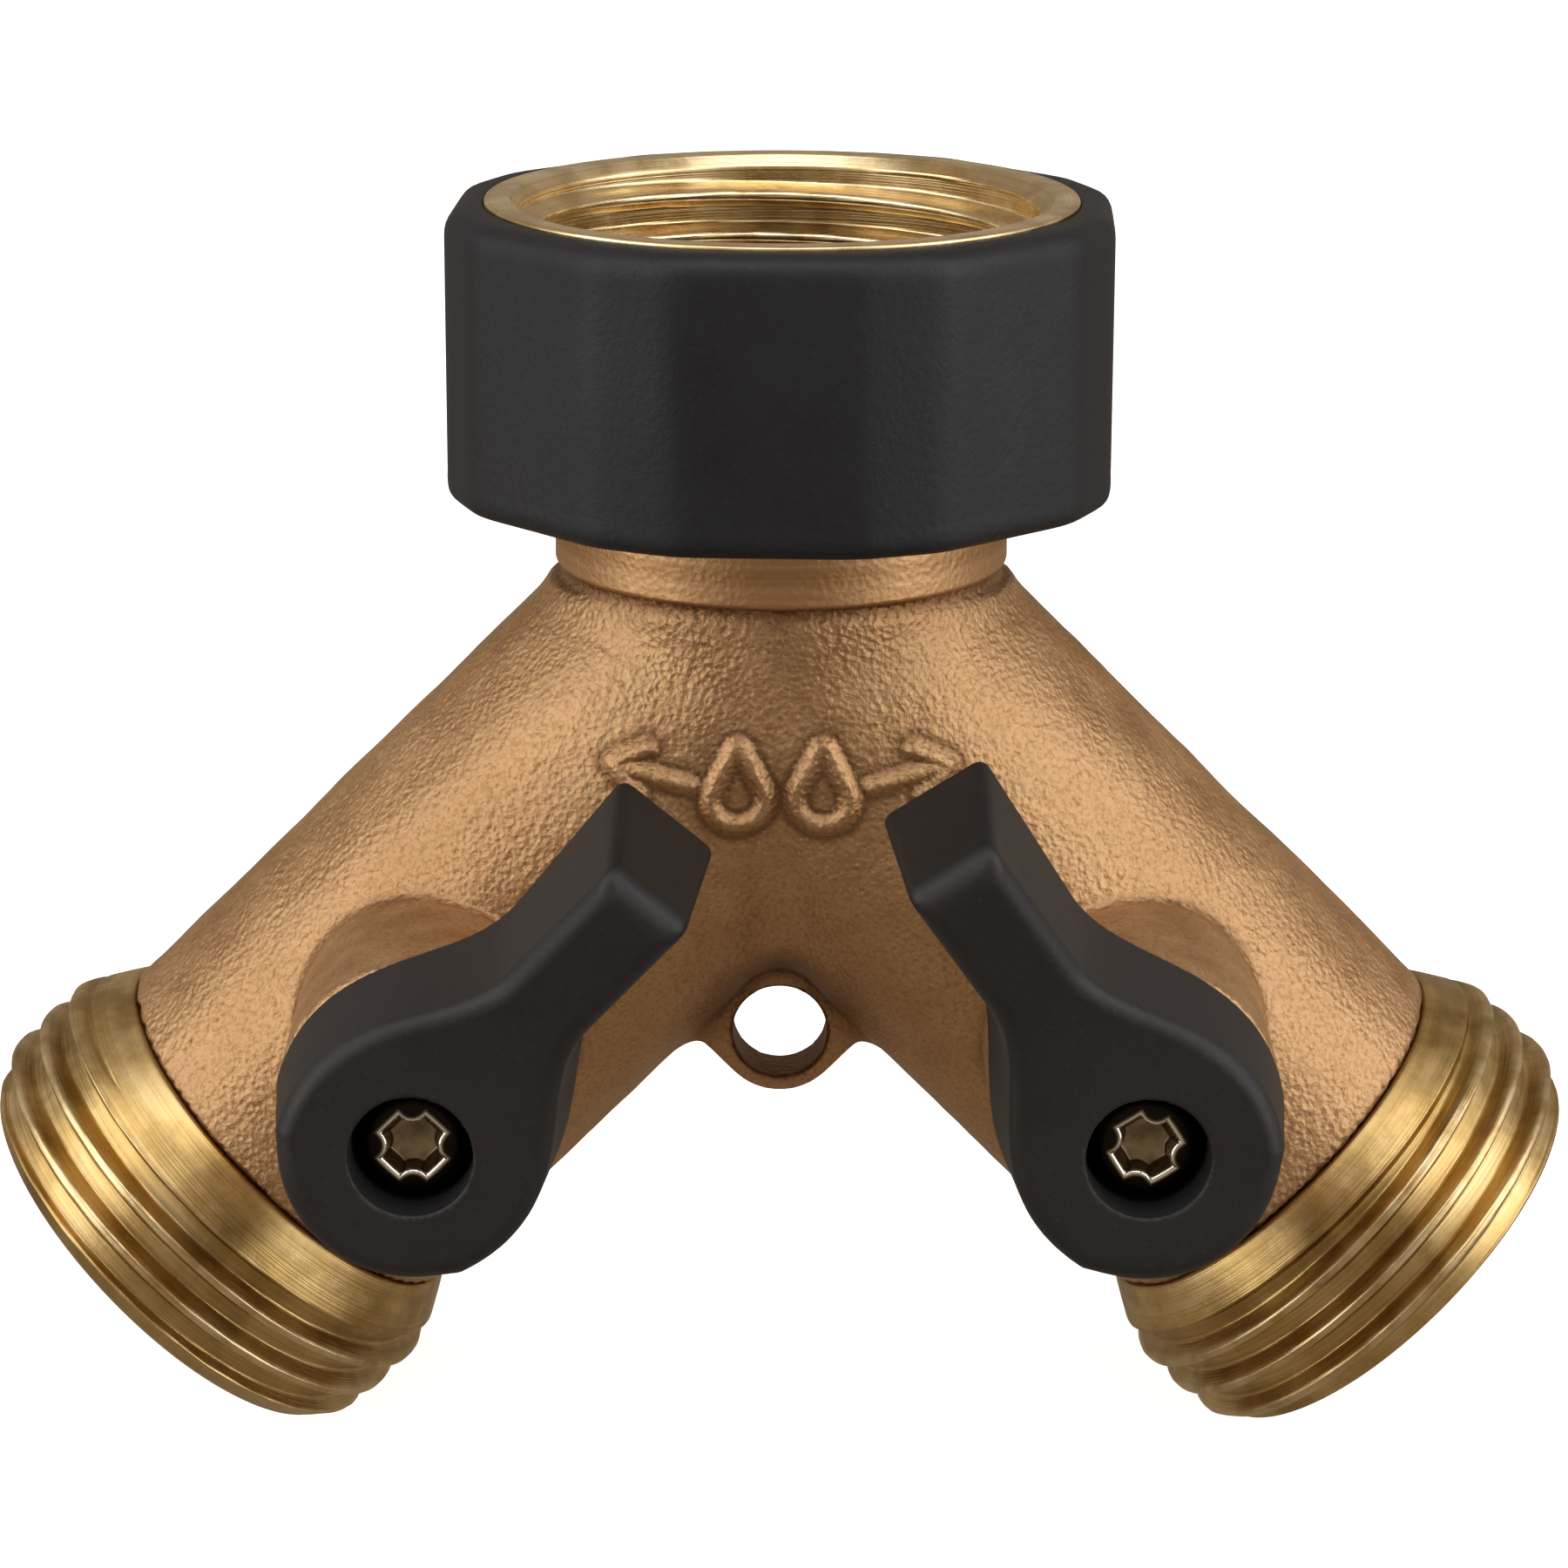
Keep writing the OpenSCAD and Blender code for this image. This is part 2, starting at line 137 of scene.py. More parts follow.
def cut(solid, hole, radius):
    """The solid without the hole, with a rounded rim."""
    return round_overlap(solid, -hole, radius)


def smooth_step(low, high, x):
    """0 where x is at low and 1 at high, with an S-curve between. Low may be the larger."""
    t = np.clip((x - low) / (high - low), 0, 1)
    return t * t * (3 - 2 * t)


def waves(points, size, seed, count=14):
    """Smooth noise from -1 to 1 with bumps about that size, from seeded plane waves."""
    random = np.random.default_rng(seed)
    total = np.zeros(len(points))
    for _ in range(count):
        direction = random.normal(size=3)
        direction *= random.uniform(0.7, 1.4) * math.tau / size / np.linalg.norm(direction)
        total += np.sin(points @ direction + random.uniform(0, math.tau))
    return total / math.sqrt(count / 2)


def capsule(points, start, axis, far, radius):
    """A rod with round ends: its distance field and the direction away from its axis."""
    along = np.clip((points - start) @ axis, 0, far)
    away = points - start - along[:, None] * axis
    distance = length(away)
    return distance - radius, away / np.maximum(distance, 1e-6)[:, None]


def fillet_by_angle(radius, normals_a, normals_b):
    """Fillet radius that fades out where two surfaces run into each other."""
    return radius * np.clip(1 - (normals_a * normals_b).sum(-1), 0, 1)


# ---- meshes from fields

# Grid cells along a block's side. A block far from the surface gets one value.
BLOCK = 4
# Both ends of each edge of a grid cell
EDGE_ENDS = [
    (a, b) for a, b in itertools.combinations(itertools.product((0, 1), repeat=3), 2)
    if sum(abs(p - q) for p, q in zip(a, b)) == 1
]


def sample(field, low, cell, shape):
    """Field values on a grid, worked out only near the surface."""
    blocks = [n // BLOCK for n in shape]
    centres = np.stack(np.meshgrid(*[np.arange(n) + 0.5 for n in blocks], indexing="ij"), -1)
    rough = field(low + centres.reshape(-1, 3) * BLOCK * cell).reshape(blocks)
    near = np.abs(rough) < BLOCK * cell * 1.15
    values = rough.astype(np.float32)
    cells = near
    for axis in range(3):
        values = values.repeat(BLOCK, axis)
        cells = cells.repeat(BLOCK, axis)
    values = np.pad(values, ((0, 1),) * 3, mode="edge")
    wanted = np.zeros(values.shape, bool)
    for shift in itertools.product((0, 1), repeat=3):
        place = tuple(slice(s, s + n) for s, n in zip(shift, cells.shape))
        wanted[place] |= cells
    index = np.argwhere(wanted)
    for part in np.array_split(index, max(1, len(index) // 300000)):
        values[tuple(part.T)] = field(low + part * cell)
    return values


def surface_net(field, low, high, cell):
    """Vertices and quads on the surface where the field is zero, one vertex a grid cell."""
    low = np.array(low, float) - 2 * cell
    shape = [int(math.ceil((h - l) / cell / BLOCK) + 1) * BLOCK for l, h in zip(low, high)]
    values = sample(field, low, cell, shape)
    inside = values < 0
    cells = tuple(n - 1 for n in values.shape)
    count = np.zeros(cells, np.int8)
    for shift in itertools.product((0, 1), repeat=3):
        count += inside[tuple(slice(s, s + n) for s, n in zip(shift, cells))]
    active = np.argwhere((count > 0) & (count < 8))
    number = np.full(cells, -1, np.int32)
    number[tuple(active.T)] = np.arange(len(active))
    total = np.zeros((len(active), 3))
    hits = np.zeros(len(active))
    for a, b in EDGE_ENDS:
        value_a = values[tuple((active + a).T)].astype(float)
        value_b = values[tuple((active + b).T)].astype(float)
        crossing = (value_a < 0) != (value_b < 0)
        t = np.where(crossing, value_a / np.where(crossing, value_a - value_b, 1), 0)
        place = active + np.array(a) + t[:, None] * (np.array(b) - np.array(a))
        total += place * crossing[:, None]
        hits += crossing
    vertices = low + cell * total / hits[:, None]
    quads = []
    for axis in range(3):
        first, second = (axis + 1) % 3, (axis + 2) % 3
        lower = [slice(None)] * 3
        upper = [slice(None)] * 3
        lower[axis], upper[axis] = slice(0, -1), slice(1, None)
        start, end = inside[tuple(lower)], inside[tuple(upper)]
        edge = np.argwhere(start != end)
        rising = start[tuple(edge.T)]
        ring = []
        for da, db in ((-1, -1), (0, -1), (0, 0), (-1, 0)):
            place = edge.copy()
            place[:, first] += da
            place[:, second] += db
            ring.append(number[tuple(place.T)])
        ring = np.stack(ring, 1)
        ring[~rising] = ring[~rising][:, ::-1]
        quads.append(ring)
    return vertices, np.concatenate(quads)


def gradient(field, points, reach=0.02):
    """Slope of a field at some points, from values that far to each side."""
    slopes = []
    for axis in range(3):
        step = np.zeros(3)
        step[axis] = reach
        slopes.append((field(points + step) - field(points - step)) / (2 * reach))
    return np.stack(slopes, -1)


def quad_edges(quads):
    """Each edge of the quads once, as two vertex numbers."""
    edges = np.concatenate([quads[:, [i, (i + 1) % 4]] for i in range(4)])
    return np.unique(np.sort(edges, 1), axis=0)


def settle(field, vertices, edges, cell, rounds=3):
    """Evens the vertices out along the surface and puts them exactly on it."""
    edges = np.concatenate([edges, edges[:, ::-1]])
    degree = np.bincount(edges[:, 0], minlength=len(vertices))
    for _ in range(rounds):
        slope = gradient(field, vertices)
        steep = np.maximum(length(slope), 0.3)
        normal = slope / steep[:, None]
        mean = np.stack([
            np.bincount(edges[:, 0], vertices[edges[:, 1], k], len(vertices)) / degree for k in range(3)
        ], -1)
        pull = mean - vertices
        pull -= (pull * normal).sum(-1)[:, None] * normal
        move = np.clip(field(vertices) / steep, -cell, cell)
        vertices = vertices + 0.5 * pull - move[:, None] * normal
    for _ in range(2):
        slope = gradient(field, vertices)
        steep = np.maximum(length(slope), 0.3)
        move = np.clip(field(vertices) / steep, -cell, cell)
        vertices = vertices - (move / steep)[:, None] * slope
    return vertices


def axes_matrix(place, x_axis, z_axis):
    """Puts local +X and +Z along two directions, from a place in millimetres."""
    turn = Matrix((x_axis, z_axis.cross(x_axis), z_axis)).transposed().to_4x4()
    return Matrix.Translation(Vector(place) * MM) @ turn


def new_object(name, vertices, faces, place=None):
    """A smooth-shaded mesh object from points in millimetres, placed by a matrix in metres."""
    mesh = bpy.data.meshes.new(name)
    mesh.from_pydata((vertices * MM).tolist(), [], [tuple(face) for face in faces])
    mesh.shade_smooth()
    piece = bpy.data.objects.new(name, mesh)
    bpy.context.scene.collection.objects.link(piece)
    if place is not None:
        piece.matrix_world = place
    return piece


def mesh_points(piece):
    """A mesh's points in its own axes, in millimetres."""
    points = np.empty(len(piece.data.vertices) * 3, np.float32)
    piece.data.vertices.foreach_get("co", points)
    return points.reshape(-1, 3).astype(float) / MM


def set_field_normals(piece, field):
    """Shades a mesh by the field's own slope, so that no facet of the grid shows."""
    slope = gradient(field, mesh_points(piece))
    slope /= np.maximum(length(slope), 1e-6)[:, None]
    piece.data.normals_split_custom_set_from_vertices(slope.tolist())


def paint(piece, name, amount):
    """Stores amount(points) on a mesh's points, for its material to read by that name."""
    layer = piece.data.attributes.new(name, "FLOAT", "POINT")
    layer.data.foreach_set("value", amount(mesh_points(piece)).astype(np.float32))


def refine(vertices, quads, detail):
    """Splits in four each quad whose centre detail(points) picks. Returns points, faces and edges."""
    chosen = detail(vertices[quads].mean(1))
    mesh = bpy.data.meshes.new("refined")
    mesh.from_pydata(vertices.tolist(), [], quads.tolist())
    work = bmesh.new()
    work.from_mesh(mesh)
    work.faces.ensure_lookup_table()
    work.edges.ensure_lookup_table()
    numbers = sorted({edge.index for i in np.flatnonzero(chosen) for edge in work.faces[i].edges})
    edges = [work.edges[number] for number in numbers]
    bmesh.ops.subdivide_edges(work, edges=edges, cuts=1, use_grid_fill=True)
    work.to_mesh(mesh)
    work.free()
    points = np.empty(len(mesh.vertices) * 3)
    mesh.vertices.foreach_get("co", points)
    links = np.empty(len(mesh.edges) * 2, np.int32)
    mesh.edges.foreach_get("vertices", links)
    faces = [tuple(face.vertices) for face in mesh.polygons]
    bpy.data.meshes.remove(mesh)
    return points.reshape(-1, 3), faces, links.reshape(-1, 2)


def field_mesh(field, low, high, cell, detail=None):
    """Points and faces of the surface where a field is zero, twice as fine where detail picks."""
    vertices, quads = surface_net(field, low, high, cell)
    vertices = settle(field, vertices, quad_edges(quads), cell)
    if detail is None:
        return vertices, quads
    vertices, faces, edges = refine(vertices, quads, detail)
    return settle(field, vertices, edges, cell / 2, 2), faces


# ---- turned meshes

def rounded_outline(turns, arc=5):
    """A closed outline of (along, radius) points. Each turn gives those two and its rounding."""
    points = []
    for i, (along, radius, rounding) in enumerate(turns):
        here = np.array([along, radius], float)
        before = np.array(turns[i - 1][:2], float) - here
        after = np.array(turns[(i + 1) % len(turns)][:2], float) - here
        if rounding == 0:
            points.append(here)
            continue
        start = here + before / np.linalg.norm(before) * rounding
        end = here + after / np.linalg.norm(after) * rounding
        for t in np.linspace(0, 1, arc):
            points.append((1 - t) ** 2 * start + 2 * t * (1 - t) * here + t * t * end)
    return points


def fine_outline(points, low, high, step):
    """The outline with more points on its steps between two positions along the axis."""
    fine = []
    for i, here in enumerate(points):
        there = points[(i + 1) % len(points)]
        fine.append(here)
        within = low - 1e-6 <= min(here[0], there[0]) and max(here[0], there[0]) <= high + 1e-6
        pieces = int(abs(there[0] - here[0]) / step) if within else 0
        for k in range(1, pieces):
            fine.append(here + (there - here) * k / pieces)
    return np.array(fine)


def turned(name, outline, shape, segments, place=None):
    """A closed turned mesh about its own Z. shape(angle, along, radius) gives the final radius."""
    angle = np.linspace(0, math.tau, segments, endpoint=False)[:, None]
    along = outline[None, :, 0] + 0 * angle
    radius = shape(angle, along, outline[None, :, 1] + 0 * angle)
    vertices = np.stack([radius * np.cos(angle), radius * np.sin(angle), along], -1)
    rows, columns = radius.shape
    i, j = np.meshgrid(np.arange(rows), np.arange(columns), indexing="ij")
    i2, j2 = (i + 1) % rows, (j + 1) % columns
    faces = np.stack([i * columns + j, i2 * columns + j, i2 * columns + j2, i * columns + j2], -1)
    faces = faces.reshape(-1, 4)
    after = np.roll(outline, -1, axis=0)
    turn_area = (outline[:, 0] * after[:, 1] - after[:, 0] * outline[:, 1]).sum()
    if turn_area > 0:
        faces = faces[:, ::-1]
    return new_object(name, vertices.reshape(-1, 3), faces, place)


def thread_groove(along, crest_place, crest_half=0.14, flank=0.52):
    """0 on a thread's crest and 1 at its root, crest_place being where a crest lies."""
    offset = np.abs((along - crest_place + THREAD_PITCH / 2) % THREAD_PITCH - THREAD_PITCH / 2)
    down = np.clip((offset - crest_half) / flank, 0, 1)
    return 0.6 * down + 0.4 * down * down * (3 - 2 * down)


def paint_crest(piece, crest_r, way):
    """Marks the crest of an outside thread, where way is 1, or of an inside one, where it is -1."""
    def crest(points):
        return smooth_step(-0.5, -0.05, way * (np.hypot(points[:, 0], points[:, 1]) - crest_r))

    paint(piece, "crest", crest)


# ---- body

NECK_R = 11.76
CAST_NECK_R = 11.42
BRANCH_R = 11.39
BAND_BOTTOM = JUNCTION[2] + 5.2
NECK_TOP = float(nut_low[2]) - 0.1
SPIGOT_TOP = float(washer_low[2]) - 0.05
SPIGOT_R = 10.2
CROTCH_FILLET = 2.4
NECK_FILLET = 5
BOSS_RIM_R = 7.15
BOSS_TAPER = 0.012
BOSS_HEIGHT = LEVER_BACK - 0.1
BOSS_FOOT = 4
LUG_R = 3.35
LUG_HALF = LUG_THICKNESS / 2 - 0.45
LUG_SINK = 1.3
LUG_HALF_WIDTH = 8.5
MARK_HEIGHT = 0.42
MARK_STROKE = 0.42
DROP_X = 2.15
DROP_Z = -4.7

# Bores. The valve's lie a little clear of its parts, so that no part touches as it turns.
INLET_BORE_R = 7.5
RING_GROOVE_Z = -4.15
RING_GROOVE_HALF = 0.4
RING_GROOVE_R = 10.5
WATERWAY_R = 6
CHAMBER_R = 8.65
CHAMBER_HALF = 7
CHAMBER_START = VALVE_DISTANCE - CHAMBER_HALF
SOCKET_START = VALVE_DISTANCE + CHAMBER_HALF
SOCKET_R = 9.35
STEM_HOLE_R = 4.1
STEM_RECESS_R = 5.65
STEM_RECESS_DEPTH = 10.7
STOP_POCKET_R = 6.75
STOP_POCKET_DEPTH = 10.3
STOP_POCKET_SWING = math.radians(63)


def branch_points(points, side):
    """Distance along a branch's axis and away from it."""
    offset = points - JUNCTION
    axis = branch_axis(side)
    along = offset @ axis
    return along, length(offset - along[:, None] * axis)


def front_distance(points, place):
    """Distance from a place as the front view shows it, whatever the depth."""
    return np.hypot(points[:, 0] - place[0], points[:, 2] - place[2])


def boss_field(points, side):
    """The round boss on the front of a branch that a valve's stem comes out of."""
    height = -points[:, 1]
    cone = front_distance(points, valve_place[side]) - BOSS_RIM_R - BOSS_TAPER * (BOSS_HEIGHT - height)
    cone = round_overlap(cone, height - BOSS_HEIGHT, 0.5)
    return np.maximum(cone, BOSS_FOOT - height)


def lug_field(points):
    """The flat lug: a disc round the hole that runs into the branches above it."""
    x, y, z = points.T
    crotch = JUNCTION[2] - BRANCH_R * math.sqrt(2)
    disc = front_distance(points, LUG_HOLE) - LUG_R
    wedge = (crotch - np.abs(x) - z) * math.sqrt(0.5) + LUG_SINK
    flat = np.maximum(round_union(disc, wedge, 4.5), np.abs(x) - LUG_HALF_WIDTH)
    return round_overlap(flat, np.abs(y) - LUG_HALF, 0.4)


def segment_distance(x, z, start, end):
    """Flat distance to a straight line between two points."""
    start, end = np.array(start, float), np.array(end, float)
    run = end - start
    t = np.clip(((x - start[0]) * run[0] + (z - start[1]) * run[1]) / (run @ run), 0, 1)
    return np.hypot(x - start[0] - t * run[0], z - start[1] - t * run[1])


def drop_distance(x, z, base_r, tip_r, height):
    """Flat distance to a water drop: a big circle at the origin joined to a small one above it."""
    lean = (base_r - tip_r) / height
    upright = math.sqrt(1 - lean * lean)
    x = np.abs(x)
    along = upright * z - lean * x
    side = upright * x + lean * z - base_r
    cap = np.where(along < 0, np.hypot(x, z) - base_r, np.hypot(x, z - height) - tip_r)
    return np.where((along < 0) | (along > upright * height), cap, side)


def mark_outline(points):
    """Flat distance to the raised mark: two outlined water drops between outward arrows."""
    x = points[:, 0]
    z = points[:, 2] - JUNCTION[2]
    side_x = np.abs(x)
    drop = np.abs(drop_distance(side_x - DROP_X, z - DROP_Z, base_r=1.4, tip_r=0.25, height=2.6))
    tip = (8.5, -2.9)
    arrow = [segment_distance(side_x, z, tip, end) for end in ((4.6, -3.9), (6.7, -2.05), (7.2, -4.35))]
    return np.minimum.reduce([drop, *arrow]) - MARK_STROKE


def casting_field(points):
    """The outer skin of the casting, without its bores."""
    up = np.array([0, 0, 1.0])
    neck, neck_normal = capsule(points, JUNCTION, up, NECK_TOP - JUNCTION[2], CAST_NECK_R)
    (left, left_normal), (right, right_normal) = [
        capsule(points, JUNCTION, branch_axis(side), BRANCH_LENGTH + 5, BRANCH_R) for side in (LEFT, RIGHT)
    ]
    pipes = round_union(left, right, fillet_by_angle(CROTCH_FILLET, left_normal, right_normal))
    nearer = np.where((points[:, 0] < 0)[:, None], left_normal, right_normal)
    skin = round_union(pipes, neck, fillet_by_angle(NECK_FILLET, nearer, neck_normal))
    skin = skin - 0.05 * waves(points, size=7, seed=3) - 0.005 * waves(points, size=1.5, seed=5)
    for side in (LEFT, RIGHT):
        skin = round_union(skin, boss_field(points, side), 0.35)
    skin = round_union(skin, lug_field(points), 0.8)
    relief = MARK_HEIGHT * smooth_step(0.25, -0.38, mark_outline(points)) * (points[:, 1] < -4)
    return skin - relief


def body_field(points):
    """The whole casting, bored."""
    x, y, z = points.T
    away = np.hypot(x, y)
    solid = casting_field(points)
    for side in (LEFT, RIGHT):
        along, _ = branch_points(points, side)
        solid = round_overlap(solid, along - BRANCH_LENGTH, 0.35)
    solid = round_overlap(solid, z - NECK_TOP, 0.2)
    band = round_overlap(away - NECK_R, np.maximum(z - NECK_TOP, BAND_BOTTOM - z), 0.3)
    groove = np.hypot(away - CAST_NECK_R - 0.35, z - BAND_BOTTOM + 0.3) - 0.5
    solid = cut(solid, groove, 0.35)
    solid = np.minimum(solid, band)
    spigot = np.maximum(away - SPIGOT_R, np.maximum(z - SPIGOT_TOP, NECK_TOP - 2 - z))
    solid = np.minimum(solid, spigot)
    solid = np.maximum(solid, -bore_field(points))
    hole = np.maximum(front_distance(points, LUG_HOLE) - LUG_HOLE_R, np.abs(y) - LUG_THICKNESS)
    return cut(solid, hole, 0.3)


def bore_field(points):
    """Everything that is bored out of the casting."""
    x, y, z = points.T
    away = np.hypot(x, y)
    inlet = np.maximum(away - INLET_BORE_R, JUNCTION[2] - z)
    bend = length(points - JUNCTION) - INLET_BORE_R
    ring_groove = np.maximum(np.abs(z - RING_GROOVE_Z) - RING_GROOVE_HALF, np.abs(away - RING_GROOVE_R) - 1)
    bores = [inlet, bend, ring_groove]
    for side in (LEFT, RIGHT):
        along, from_axis = branch_points(points, side)
        waterway = np.maximum(from_axis - WATERWAY_R, -along)
        chamber = np.maximum(from_axis - CHAMBER_R, CHAMBER_START - along)
        socket = np.maximum(from_axis - SOCKET_R, SOCKET_START - along)
        from_stem = front_distance(points, valve_place[side])
        stem_hole = np.maximum(from_stem - STEM_HOLE_R, y)
        recess = np.maximum(from_stem - STEM_RECESS_R, np.maximum(y, -STEM_RECESS_DEPTH - y))
        swing = np.abs(np.arctan2(x - valve_place[side][0], valve_place[side][2] - z))
        pocket_side = (swing - STOP_POCKET_SWING) * from_stem
        pocket = np.maximum(from_stem - STOP_POCKET_R, pocket_side)
        pocket = np.maximum(pocket, np.maximum(y, -STOP_POCKET_DEPTH - y))
        bores += [waterway, chamber, socket, stem_hole, recess, pocket]
    return np.minimum.reduce(bores)


def body_detail(points):
    """Where the casting has its mark, its turned band, its lug and the rims of its bosses."""
    x, y, z = points.T
    away = np.hypot(x, y)
    mark = (y < -6) & (mark_outline(points) < 0.6)
    band = (np.abs(z - BAND_BOTTOM) < 0.8) & (away < NECK_R + 0.3) & (away > NECK_R - 1)
    lug = (np.abs(y) < LUG_THICKNESS / 2 + 0.5) & (np.abs(x) < 6) & (z < LUG_HOLE[2] + 4)
    found = mark | band | lug
    for side in (LEFT, RIGHT):
        rim = front_distance(points, valve_place[side]) > BOSS_RIM_R - 1
        found |= (-y > BOSS_HEIGHT - 1) & rim
    return found


def body_painted_shade(points):
    """Painted shade: darker beside the mark, under the band, in creases, at the ends of the branches and inside
    the lug's hole, where shade falls.
    """
    x, y, z = points.T
    beside_mark = np.exp(-((mark_outline(points) - 0.3) / 0.22) ** 2) * (y < -6)
    under_band = np.exp(-((z - BAND_BOTTOM + 0.3) / 0.4) ** 2) * (np.hypot(x, y) < NECK_R + 0.5)
    total = beside_mark + under_band
    from_hole = front_distance(points, LUG_HOLE)
    near_lug = smooth_step(7, 4, from_hole)
    for side in (LEFT, RIGHT):
        along, from_axis = branch_points(points, side)
        crease = np.hypot(from_axis - BRANCH_R, boss_field(points, side))
        total = total + 0.5 * np.exp(-(crease / 0.35) ** 2) * (y < 0)
        total = total + 0.9 * np.exp(-((along - BRANCH_LENGTH) / 0.3) ** 2)
        lug_crease = np.hypot(from_axis - BRANCH_R, np.minimum(np.abs(y) - LUG_HALF, 0))
        total = total + 0.7 * near_lug * smooth_step(1.6, 0.2, lug_crease) * (np.abs(y) > LUG_HALF - 0.2)
    in_hole = smooth_step(LUG_HOLE_R + 0.25, LUG_HOLE_R, from_hole)
    return np.clip(total + in_hole, 0, 1)


def make_body():
    cell = 0.45
    vertices, faces = field_mesh(body_field, body_low, body_high, cell, body_detail)
    piece = new_object("brass_casting", vertices, faces)
    set_field_normals(piece, body_field)
    # Painted shade: the casting's material darkens where this amount is high.
    paint(piece, "crevice", body_painted_shade)
    return piece


# ---- outlets

# Where a crest of each outlet's thread crosses the front, along the branch
FRONT_CREST = {LEFT: 41.75, RIGHT: 40.75}


def make_outlet(side):
    """A turned hose end with its outside thread."""
    end = OUTLET_END
    start = BRANCH_LENGTH
    outline = rounded_outline([
        (SOCKET_START, 5.5, 0.3), (SOCKET_START, 9.3, 0.3), (start, 9.3, 0), (start, 11.5, 0.2),
        (start + 0.9, 12.05, 0.5), (start + 3.3, OUTLET_CREST_R, 0.5), (end - 1.6, OUTLET_CREST_R, 0.4),
        (end - 0.15, 12.35, 0.15), (end, 12.1, 0.1), (end, 9.35, 0.1), (end - 0.35, 9, 0.1),
        (start + 3, 9, 0.3), (start, 5.5, 0.3)
    ])
    outline = fine_outline(outline, start + 0.4, end - 0.05, 0.075)

    def shape(angle, along, radius):
        crest = FRONT_CREST[side] + THREAD_PITCH * angle / math.tau
        depth = THREAD_DEPTH * smooth_step(start + 1.2, start + 2.4, along)
        thread = OUTLET_CREST_R + 0.03 - depth * thread_groove(along, crest)
        return np.where(radius > 11.4, np.minimum(radius, thread), radius)

    place = axes_matrix(JUNCTION, FRONT, Vector(branch_axis(side)))
    piece = turned(SIDE_NAMES[side] + "_hose_end", outline, shape, 288, place)
    paint_crest(piece, OUTLET_CREST_R, 1)
    return piece


# ---- inlet nut and grip

# Height at which a crest of the nut's thread crosses the back
NUT_BACK_CREST = nut_high[2] - 2.1


def make_nut():
    """The turned brass nut with its inside thread."""
    top, bottom, seat = nut_high[2], nut_low[2], washer_high[2]
    root = INLET_CREST_R + THREAD_DEPTH
    outline = rounded_outline([
        (bottom, 10.4, 0.2), (bottom, NUT_R, 0.3), (top, NUT_R, 0.18), (top, 14.05, 0.12),
        (top - 1.05, 13.05, 0.1), (top - 1.4, INLET_CREST_R, 0.1), (seat - 0.4, INLET_CREST_R, 0.1),
        (seat - 0.6, root, 0.1), (bottom + 1.3, root, 0.2), (bottom + 1.3, 10.4, 0.2)
    ])
    outline = fine_outline(outline, seat - 0.3, top - 0.05, 0.09)
    outer = NUT_R - 0.5

    def shape(angle, along, radius):
        crest = NUT_BACK_CREST + THREAD_PITCH * (angle / math.tau - 0.25)
        thread = INLET_CREST_R + THREAD_DEPTH * thread_groove(along, crest)
        inside = (radius < outer) & (along > seat - 0.5) & (along < top - 0.03)
        return np.where(inside, np.maximum(radius, thread), radius)

    piece = turned("inlet_nut_brass", outline, shape, 288)
    paint_crest(piece, INLET_CREST_R, -1)
    return piece


GRIP_CORNER_R = 17.55
GRIP_TURN = -2.4
GRIP_WIDE_FLAT = 30
GRIP_SOFTNESS = 0.17
# Makes up for what the softened corners take off the flats
GRIP_GAIN = 0.05
# The grip's outline is drawn with this radius, and then drawn in to the flats
GRIP_OUTLINE_R = 18


def grip_radius(angle):
    """Radius of the grip's sixteen soft flats, eight wide and eight narrow."""
    angle = np.degrees(angle) + 90 - GRIP_TURN
    narrow_flat = 45 - GRIP_WIDE_FLAT
    from_wide = (angle + 22.5) % 45 - 22.5
    from_narrow = angle % 45 - 22.5
    wide = GRIP_CORNER_R * math.cos(math.radians(GRIP_WIDE_FLAT / 2)) / np.cos(np.radians(from_wide))
    narrow = GRIP_CORNER_R * math.cos(math.radians(narrow_flat / 2)) / np.cos(np.radians(from_narrow))
    both = np.exp(-wide / GRIP_SOFTNESS) + np.exp(-narrow / GRIP_SOFTNESS)
    return GRIP_GAIN - GRIP_SOFTNESS * np.log(both)


def make_grip():
    """The black grip round the nut, with a faint moulding seam near its lower edge."""
    top, bottom = grip_high[2], grip_low[2]
    step = nut_low[2]
    outline = rounded_outline([
        (bottom, 13.3, 0.3), (bottom, GRIP_OUTLINE_R, 1.0), (top, GRIP_OUTLINE_R, 1.3),
        (top, NUT_R + 0.02, 0.25), (step, NUT_R + 0.02, 0), (step, 13.3, 0.2)
    ], 9)
    outline = fine_outline(outline, bottom, top, 0.25)

    def shape(angle, along, radius):
        seam = 0.05 * np.exp(-((along - bottom - 1.15) / 0.09) ** 2) * (radius > GRIP_OUTLINE_R - 0.1)
        outer = radius - GRIP_OUTLINE_R + grip_radius(angle) + seam
        return np.where(radius > NUT_R + 0.3, outer, radius)

    return turned("grip_collar", outline, shape, 512)


# ---- levers and screws

HUB_R = 7.1
HUB_DRAFT = 0.1
HUB_TOP = 7.6
LEVER_REACH = 19.4
LEVER_TIP_REACH = 18.4
LEVER_TIP_TOP = 12.1
LEVER_HALF_BACK = 2.95
LEVER_HALF_FRONT = 2.3
LEVER_CREASE = 6.3
LEVER_CHAMFER = 1.1
COUNTERBORE_R = 3.0
WEB_TOP = 3.6
DRIVE_SOCKET_HALF = 2.65
DRIVE_SOCKET_DEPTH = 2.4
SCREW_HOLE_R = 1.7


